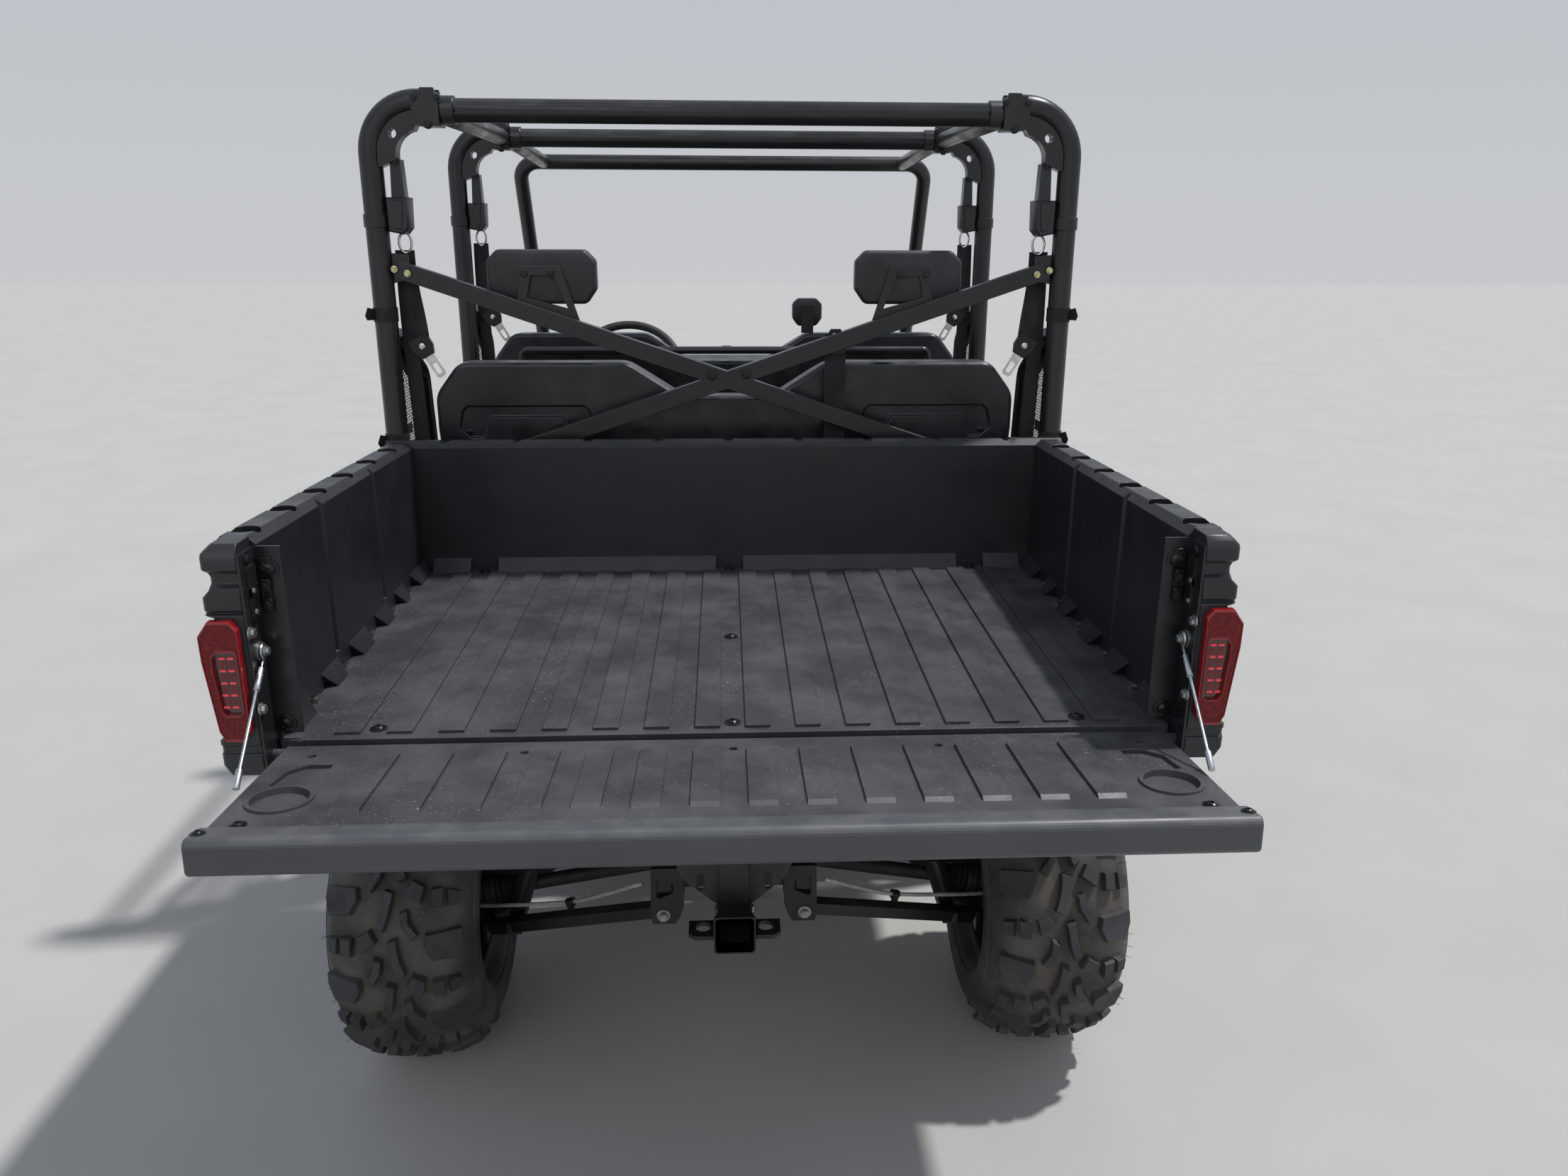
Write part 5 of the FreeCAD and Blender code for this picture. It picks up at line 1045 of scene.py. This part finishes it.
def make_rear_arms():
    """Rear lower arms of square tube with bolted clevises, and the round upper arms."""
    bm = bmesh.new()
    station, outer = 435, 554
    for side in SIDES:
        def p(x, y, z):
            return (side * x, y, z)
        beam(bm, p(146, 230.5, 398), p(outer - 54, station - 50, 266), 25, 25)
        beam(bm, p(outer - 49, station - 15, 262), p(311, 690, 343), 25, 25)
        block(bm, p(outer - 48, station - 69, 238), p(outer - 40, station + 65, 282))
        for start in (station - 47, station + 41):
            block(bm, p(outer - 42, start, 232), p(outer + 18, start + 6, 282))
        rod(bm, 7, p(outer, station - 53, 250), p(outer, station + 53, 250))
        block(bm, p(outer - 121, station - 84, 268), p(outer - 91, station + 72, 290.6))
        for (x, z), middle, long in (((134, 400), 230.5, 38), ((290, 345), 690, 31)):
            rod(bm, 16, p(x, middle - long / 2, z), p(x, middle + long / 2, z), 20)
        for middle in (300, 530):
            rod(bm, 13, p(196, middle, 472), p(outer - 10, station + (middle - station) * 0.1, 380))
            rod(bm, 14, p(186, middle - 17.5, 474), p(186, middle + 17.5, 474), 20)
        rod(bm, 20, p(outer, station, 372), p(outer, station, 388), 20)
    piece("rear_wishbones", bm, "chassis", "frame_steel", stands_for="rear_arms", edge=0.0018)


def under_fittings():
    """Pivot bolts, ribbed boots, brake hoses with their clips, and dust shields."""
    zinc = group("pivot_bolts", "chassis", "bolt_grey", "brushed_metal")
    rubber = group("ribbed_boots", "chassis", "rubber", "boot_rubber")
    hose = group("brake_hoses", "chassis", "hose", "brushed_metal")
    brass = group("hose_ends", "chassis", "brass", "brushed_metal")
    shield = group("dust_shields", "chassis", "cast", "cast_metal")
    dark = group("hose_clips", "chassis", "bolt_black", "black_steel")
    axle, centre = 435, 317.5
    for side in SIDES:
        for x, y, z, axis, sizes in (
                (134, 205, 400, BACKWARD, (9.5, 8, 2.2)), (134, 256, 400, (0, 1, 0), (9.5, 8, 2.2)),
                (554, 388, 250, BACKWARD, (9.5, 8, 2.2)), (290, 668, 345, BACKWARD, (9, 7, 2)),
                (31.8, 126, 460, (side, 0, 0), (9, 3, 1))):
            hex_bolt(zinc, at(side * x, y, z), axis, *sizes)
        start = at(side * 105.3, axle, 397.5)
        span = at(side * 533.3, axle, 317.5) - start
        for first, last, large in ((0.80, 0.985, 37), (0.13, 0.015, 36)):
            long = abs(last - first) * span.length * 1000
            ribs = []
            for k in range(15):
                t = k / 14
                ribs.append((t * long, 20 + (large - 20) * t ** 0.7 + (3.2 if k % 2 else -2.6)))
            ribs.append((long + 3, large - 6))
            lathe(rubber, start + span * first, span * (1 if last > first else -1), ribs, 28)
        route = [(566, 400, 309), (530, 392, 312), (450, 362, 330), (326, 320, 361), (250, 280, 402), (190, 240, 444),
                 (173, 230, 454)]
        sweep(hose, smooth_line([at(side * x, y, z) for x, y, z in route]), 4.2, 10)
        for x0, x1, r, y1, sides in ((578, 570, 8, 400, 6), (570, 556, 6, 400, 14), (556, 544, 5.2, 397, 14)):
            rod(brass, r, (side * x0, 400, 309), (side * x1, y1, 309.5), sides)
        rod(dark, 9, (side * 332, 322, 358), (side * 318, 318, 364), 16)
        block(dark, (331, 312, 340), (319, 328, 358), side)
        sector = [math.radians(200 + 150 * k / 21) for k in range(22)]
        for a, b in zip(sector, sector[1:]):
            for x, near, thick in ((572, 40, 0.002), (566, 104, 0.006)):
                corners = [(near, a), (106, a), (106, b), (near, b)]
                slab(shield, [at(side * x, axle + r * math.cos(t), centre + r * math.sin(t)) for r, t in corners],
                     (side * thick, 0, 0))


make_frame()
make_hitch()
make_rear_arms()
under_fittings()


# Bed corners, latches, hoop brackets and seat backs, finer than the plain solids

# How far below the rail's top, the outer face there, and how far its rear face is set in
POST_LEVELS = ((0, 762, 13), (8, 770, 6), (14, 776, 3), (20, 776, 0), (36, 776, 0), (38, 774.9, 0), (44, 771.4, 9),
               (50, 768, 9), (60, 768, 9), (66, 768, 0), (80, 780, 0), (100, 780, 0), (104, 780, 6),
               (107.5, 780, 0), (112, 766, 0), (306, 766, 0), (309.5, 786, 0), (318, 786, 0), (319, 786, 4),
               (331, 786, 4), (332, 786, 0), (351.5, 786, 0), (368, 776, 0))


def make_corner_posts():
    """Moulded rear corners: cap, neck, and stepped blocks above and below each lamp."""
    bm = bmesh.new()
    inner, end = 723, 9.3
    for side in SIDES:
        rings = []
        for drop, outer, back in POST_LEVELS:
            face = POST_FACE + back
            ring = ((inner, end), (inner, face), (outer - 5, face), (outer, face + 5), (outer, end))
            rings.append([at(side * x, y, RAIL_TOP - drop) for x, y in ring])
        loft(bm, rings)
    piece("corner_mouldings", bm, "cargo_box", "plastic", stands_for="bed_corner_posts", edge=0.002)


make_corner_posts()


def make_latches():
    """Rotary latches with their mouths, and the keepers above them."""
    bm = bmesh.new()
    for side in SIDES:
        for low, high in (((697, -4.5, 1086), (713.2, 5.4, 1108)), ((697, -4.5, 1118), (713.2, 5.4, 1138)),
                          ((708, -4.5, 1107.5), (713.2, 5.4, 1118.5)), ((697, 1, 1107.5), (709, 5.4, 1118.5)),
                          ((694, 1.5, 1141), (713.2, 5.4, 1171)), ((711.5, -34, 1088), (713.2, -8, 1136))):
            block(bm, low, high, side)
    piece("latch_blocks", bm, "cargo_box", "bolt_black", edge=0.0012)


make_latches()


def make_hoop_brackets():
    """Boxed inner bends with their holes, split plates where the cross tubes meet, and clamp rings."""
    bm = bmesh.new()
    steps = [math.radians(6 + 84 * k / 8) for k in range(9)]
    outer, inner = ([(660 + r * math.cos(a), 1790 + r * math.sin(a)) for a in steps] for r in (91, 51))
    bend = [(751, 1764)] + outer + inner[::-1] + [(711, 1780)]
    plate = [(610, 1892), (618, 1925), (646, 1925), (666, 1878), (654, 1848), (610, 1848)]
    middle = [(610, 1892), (616, 1917), (649, 1917), (666, 1878), (654, 1848), (610, 1848)]
    for station in HOOPS:
        for side in SIDES:
            holed(bm, lambda x, z: at(side * x, station - 19, z), bend, circle(716, 1834, 10, 16), (0, 38, 0))
            for outline, start, deep in ((plate, -30, 10), (middle, -20, 40), (plate, 20, 10)):
                prism(bm, [(side * x, station + start, z) for x, z in outline], (0, deep, 0))
            lathe(bm, at(side * 580, station, 1882), (side, 0, 0), [(0, 29), (1, 30), (27, 30), (28, 29)], 32)
            lathe(bm, at(side * 770, station, 1640), (0, 0, 1), [(0, 27), (1, 28), (27, 28), (28, 27)], 32)
    piece("hoop_brackets", bm, "chassis", "steel", edge=0.002)


make_hoop_brackets()

# Half outline of a bench back from behind: across, height, and the radius of its corner
BACK_CORNERS = ((0, 1258, 0), (109, 1258, 60), (236, 1338, 60), (631, 1338, 46), (689, 1262, 60), (689, 1180, 24),
                (665, 775, 0), (0, 775, 0))


def rounded_line(corners, steps=7):
    """An open line through corners, each (x, z, radius), turned on arcs."""
    line = [corners[0][:2]]
    for before, corner, after in zip(corners, corners[1:], corners[2:]):
        if not corner[2]:
            line.append(corner[:2])
            continue
        p = Vector(corner[:2])
        back, ahead = (Vector(before[:2]) - p), (Vector(after[:2]) - p)
        half = back.angle(ahead) / 2
        run = min(corner[2] / math.tan(half), 0.45 * back.length, 0.45 * ahead.length)
        first, last = p + back.normalized() * run, p + ahead.normalized() * run
        for k in range(steps + 1):
            t = k / steps
            line.append(tuple(first * (1 - t) ** 2 + p * 2 * t * (1 - t) + last * t * t))
    return line + [corners[-1][:2]]


def grown(outline, away):
    """A closed outline moved outward along its normals."""
    count, out = len(outline), []
    area = sum(a[0] * b[1] - b[0] * a[1] for a, b in zip(outline, outline[1:] + outline[:1]))
    sign = away if area > 0 else -away
    for k in range(count):
        a, p, b = Vector(outline[k - 1]), Vector(outline[k]), Vector(outline[(k + 1) % count])
        first, second = (p - a).normalized(), (b - p).normalized()
        normal = Vector((first.y + second.y, -first.x - second.x))
        normal = normal.normalized() / max(0.5, math.cos(first.angle(second) / 2))
        out.append(tuple(p + normal * sign))
    return out


def make_back_shell(row, station):
    """The moulded shell: chamfered rim, and a sunk panel round a ridge behind each outer seat."""
    bm = bmesh.new()
    right = rounded_line(BACK_CORNERS)
    whole = right + [(-x, z) for x, z in right[::-1] if x > 0.1]

    def ring(outline, y):
        return [bm.verts.new(p) for p in flank(1, outline, y)]

    rear, rim, front = ring(grown(whole, -7), station), ring(whole, station + 7), ring(whole, station + 34)
    join(bm, rear, rim)
    join(bm, rim, front)
    bm.faces.new(front)
    borders = [rear]
    low, high = 1160, 1236
    half = [(-104, low), (-132, low), (-160, low + 22), (-150, high - 10), (-138, high)]
    panel = half + [(-x, z) for x, z in half[::-1]] + [(84, high - 26), (-84, high - 26)]
    for side in SIDES:
        moved = [(479 * side + x, z) for x, z in panel]
        edge, floor = ring(moved, station), ring(grown(moved, -1.5), station + 9)
        join(bm, edge, floor)
        bm.faces.new(floor)
        borders.append(edge)
    edges = [bm.edges.get((loop[k - 1], loop[k])) for loop in borders for k in range(len(loop))]
    bmesh.ops.triangle_fill(bm, use_beauty=True, use_dissolve=True, edges=edges)
    piece(f"{row}_back_shell", bm, "chassis", "smooth_plastic", 30, f"{row}_seat_back", 0.002)


def back_top(x):
    """Height of a bench back's top at a distance from the middle."""
    x = min(abs(x), 688.9)
    line = [p for p in rounded_line(BACK_CORNERS) if p[1] > 1200]
    for a, b in zip(line, line[1:]):
        if a[0] <= x <= b[0] and b[0] > a[0]:
            return a[1] + (b[1] - a[1]) * (x - a[0]) / (b[0] - a[0])
    return 1262


def make_back_pad(row, station):
    """The back's cushion: rolled rim, crown, and sewn channels between the seats."""
    bm = bmesh.new()
    nx, nz, low, wide, rim = 96, 30, 776, 688, 28
    base, full = station + 34.3, 66.0
    faces = []
    for deep in (0, 1):
        rows = []
        for i in range(nx + 1):
            share = i / nx * 2 - 1
            top = back_top(share * wide) - 2
            column = []
            for j in range(nz + 1):
                z = low + (top - low) * j / nz
                half = min(wide, 664 + (z - 775) * 24 / 405)
                x = share * half
                roll = rim - max(0.0, rim - min(top - z, z - low, half - abs(x)))
                y = full - rim + math.sqrt(max(0.0, rim ** 2 - (rim - roll) ** 2))
                lift = min(1.0, max(0.0, (z - 880) / 70)) * (1 - share ** 6)
                y += 6 * lift * math.sin(math.pi * min(1.0, (z - low) / (top - low)))
                for seam in SEAMS:
                    y -= 8 * math.exp(-((x - seam) / 9) ** 2)
                y -= 6 * math.exp(-((z - 1110) / 9) ** 2)
                column.append(bm.verts.new(at(x, base + y * deep, z)))
            rows.append(column)
        faces.append(rows)
        weave(bm, rows)
    rims = [[column[0] for column in rows] + rows[-1][1:] + [column[-1] for column in rows[-2::-1]] + rows[0][-2:0:-1]
            for rows in faces]
    join(bm, *rims)
    pad = piece(f"{row}_back_pad", bm, "chassis", "vinyl", 70, f"{row}_seat_back")


for row, station in SEATS:
    make_back_shell(row, station)
    make_back_pad(row, station)


def make_headrests():
    """Padded head rests: clipped corners, a rolled rim and a crowned front."""
    for name, x, y, z, half, tall in (("left", -420, 1032.8, 1534, 124, 60), ("right", 420, 1032.8, 1534, 124, 60),
                                      ("front", 242, 1822, 1398, 44, 40)):
        cut = min(half, tall) * 0.4
        corners = [(0, tall, 0), (half - cut, tall, 16), (half, tall - cut, 16), (half, -tall + cut * 1.4, 16),
                   (half - cut, -tall, 16), (0, -tall, 0)]
        right = rounded_line(corners, 4)
        outline = right + [(-a, b) for a, b in right[-2:0:-1]]
        bm = bmesh.new()
        loft(bm, [[at(x + a, y + deep, z + b) for a, b in grown(outline, away)] for deep, away in
                  ((0, -9), (1.5, -4), (6, -1), (12, 0), (34, 0), (44, -4), (50, -10), (53, -18), (54.5, -27))])
        rest = piece(f"headrest_pad_{name}", bm, "chassis", "vinyl", 60, "headrests")


make_headrests()


def make_shocks():
    """Coil-over struts: damper body, bright rod, spring between its seats, and eyes."""
    dark, coil, bright = bmesh.new(), bmesh.new(), bmesh.new()
    tower, perch, rings, around = 306, 290.6, 7, 18
    for station, outer, high in ((405, 448, 760), (3275, 460, 870)):
        for side in SIDES:
            rise = 11 * math.sin(math.atan((outer - tower) / (high - perch))) + 0.3
            low = at(side * outer, station, perch + rise)
            axis = at(side * tower, station, high - rise) - low
            long = axis.length * 1000
            lathe(dark, low, axis, [(0, 11), (20, 11), (26, 22), (long * 0.52, 22), (long * 0.52 + 3, 19)], 24)
            lathe(bright, low, axis, [(long * 0.50, 8), (long * 0.95, 8)], 20)
            for seat in ([(0.90, 20), (0.91, 36), (0.935, 38), (0.94, 24), (1, 11)],
                         [(0.36, 24), (0.365, 38), (0.39, 38), (0.40, 30)]):
                lathe(dark, low, axis, [(long * share, radius) for share, radius in seat], 28)
            across = Vector((0, 1, 0))
            other = axis.normalized().cross(across)
            line = []
            for k in range(rings * around + 1):
                turn = math.tau * k / around
                along = 0.40 + 0.50 * k / (rings * around)
                line.append(low + axis * along + (across * math.cos(turn) + other * math.sin(turn)) * 0.030)
            sweep(coil, line, 4.0, 8)
    for name, bm, look, slot in (("bodies", dark, "steel", "black_steel"), ("springs", coil, "spring", "spring_steel"),
                                 ("rods", bright, "chrome", "chrome_rod")):
        piece(f"shock_{name}", bm, "chassis", look, stands_for="shocks")


make_shocks()


# Bed side walls

# Stations where the pockets between the wall's feet start and end
FOOT_POCKETS = ((128, 204), (297, 359), (466, 525), (616, 672), (744, 800))


def carved(name, bm, cutter):
    """The mesh with a cutter's solids taken out of it."""
    objects = []
    for label, mesh_code in ((name, bm), (f"{name}_cutter", cutter)):
        bmesh.ops.recalc_face_normals(mesh_code, faces=mesh_code.faces)
        mesh = bpy.data.meshes.new(label)
        mesh_code.to_mesh(mesh)
        mesh_code.free()
        objects.append(placed(label, mesh))
    cut = objects[0].modifiers.new("cut", "BOOLEAN")
    cut.operation, cut.object = "DIFFERENCE", objects[1]
    shape = objects[0].evaluated_get(bpy.context.evaluated_depsgraph_get()).to_mesh()
    result = bmesh.new()
    result.from_mesh(shape)
    for obj in objects:
        mesh = obj.data
        bpy.data.objects.remove(obj)
        bpy.data.meshes.remove(mesh)
    return result


def make_bed_side(side):
    """Side wall with its rail, stake pockets, grooves and sloped feet."""
    name = SIDES[side]
    bm, cutter, low = bmesh.new(), bmesh.new(), 846
    inner, outer = 715, BED_OUTER

    def top(station):
        return RAIL_TOP - RAIL_FALL * station / FRONT_WALL

    rings = []
    for station in (9.6, FRONT_WALL):
        high = top(station)
        ring = ((inner, low), (inner, high - 14), (729, high), (766, high), (outer, high - 14), (outer, high - 40),
                (766, high - 54), (766, low))
        rings.append(flank(side, ring, station))
    loft(bm, rings)
    for k in range(6):
        station = 55 + 154.5 * k
        lathe(cutter, at(side * 747.5, station, top(station) - 30), (0, 0, 1), [(0, 23), (50, 23)], 28)
    for station in (301, 611):
        groove = [(710, station - 14), (724, station), (724, station + 7), (710, station + 14)]
        prism(cutter, [(side * x, y, 906) for x, y in groove], (0, 0, 330))
    near, far = sorted((side * 757, side * 781))
    for station in (190, 700):
        block(cutter, (near, station, 876), (far, station + 18, 1115))
    bm = carved(f"bed_wall_{name}", bm, cutter)
    edges = [14, *(edge for pocket in FOOT_POCKETS for edge in pocket), 929]
    hooks = group("bed_hooks", "cargo_box", "zinc", "brushed_metal")
    for start, end in zip(edges[::2], edges[1::2]):
        loft(bm, [[at(side * x, y, z) for x, y, z in ((717, slope, GROOVE), (693, slope, GROOVE), (inner, foot, 901),
                                                      (717, foot, 901))]
                  for slope, foot in ((start + 20, start), (end - 20, end))])
    near, far = sorted((side * 704, side * 714))
    for start, end in FOOT_POCKETS:
        middle = (start + end) / 2
        lathe(hooks, at(side * 711, middle + 14, 873), (0, -1, 0.2), [(0, 2.6), (30, 2.6)], 8)
        block(hooks, (near, middle - 20, GROOVE), (far, middle - 8, 878))
    piece(f"bed_wall_{name}", bm, "cargo_box", "plastic", stands_for=f"bed_side_{name}", edge=0.003)


both(make_bed_side)


close_groups()


# Stage, lights and camera

def make_stage():
    """Pale floor, a soft sky and one broad sun."""
    bpy.ops.mesh.primitive_plane_add(size=60)
    floor = bpy.context.object
    floor.name = "floor"
    material, tree = blank("pale_floor", Roughness=0.9)
    feed(tree, "Base Color", mixed(tree, noise(tree, 2.2, 4), (0.40, 0.385, 0.36), (0.47, 0.455, 0.43)))
    floor.data.materials.append(material)
    world = bpy.data.worlds.new("studio")
    bpy.context.scene.world = world
    world.use_nodes = True
    tree = world.node_tree
    back = tree.nodes["Background"]
    place = tree.nodes.new("ShaderNodeTexCoord")
    split = tree.nodes.new("ShaderNodeSeparateXYZ")
    tree.links.new(place.outputs["Generated"], split.inputs[0])
    sky = mixed(tree, ramp(tree, split.outputs["Z"], -0.05, 0.75), (0.92, 0.94, 0.97), (0.62, 0.72, 0.88))
    tree.links.new(sky, back.inputs["Color"])
    back.inputs["Strength"].default_value = 0.62
    for name, turn, energy, angle in (("sun", (26.4, 0, 104), 3.0, 2.5), ("fill", (60, 0, -10), 0.35, 40)):
        light = bpy.data.lights.new(name, "SUN")
        light.energy, light.angle = energy, math.radians(angle)
        placed(name, light).rotation_euler = [math.radians(a) for a in turn]


def make_camera():
    """The photograph's own camera."""
    camera = bpy.data.cameras.new("camera")
    camera.lens, camera.sensor_width, camera.clip_end = 26.565, 36, 200
    holder = placed("camera", camera)
    holder.location = at(-7.0, -1710.1, 1656.6)
    holder.rotation_euler = [math.radians(a) for a in (72.4245, -0.2344, -2.8903)]
    bpy.context.scene.camera = holder


make_stage()
make_camera()
bpy.context.scene.view_settings.view_transform = "Standard"

bpy.context.view_layer.update()
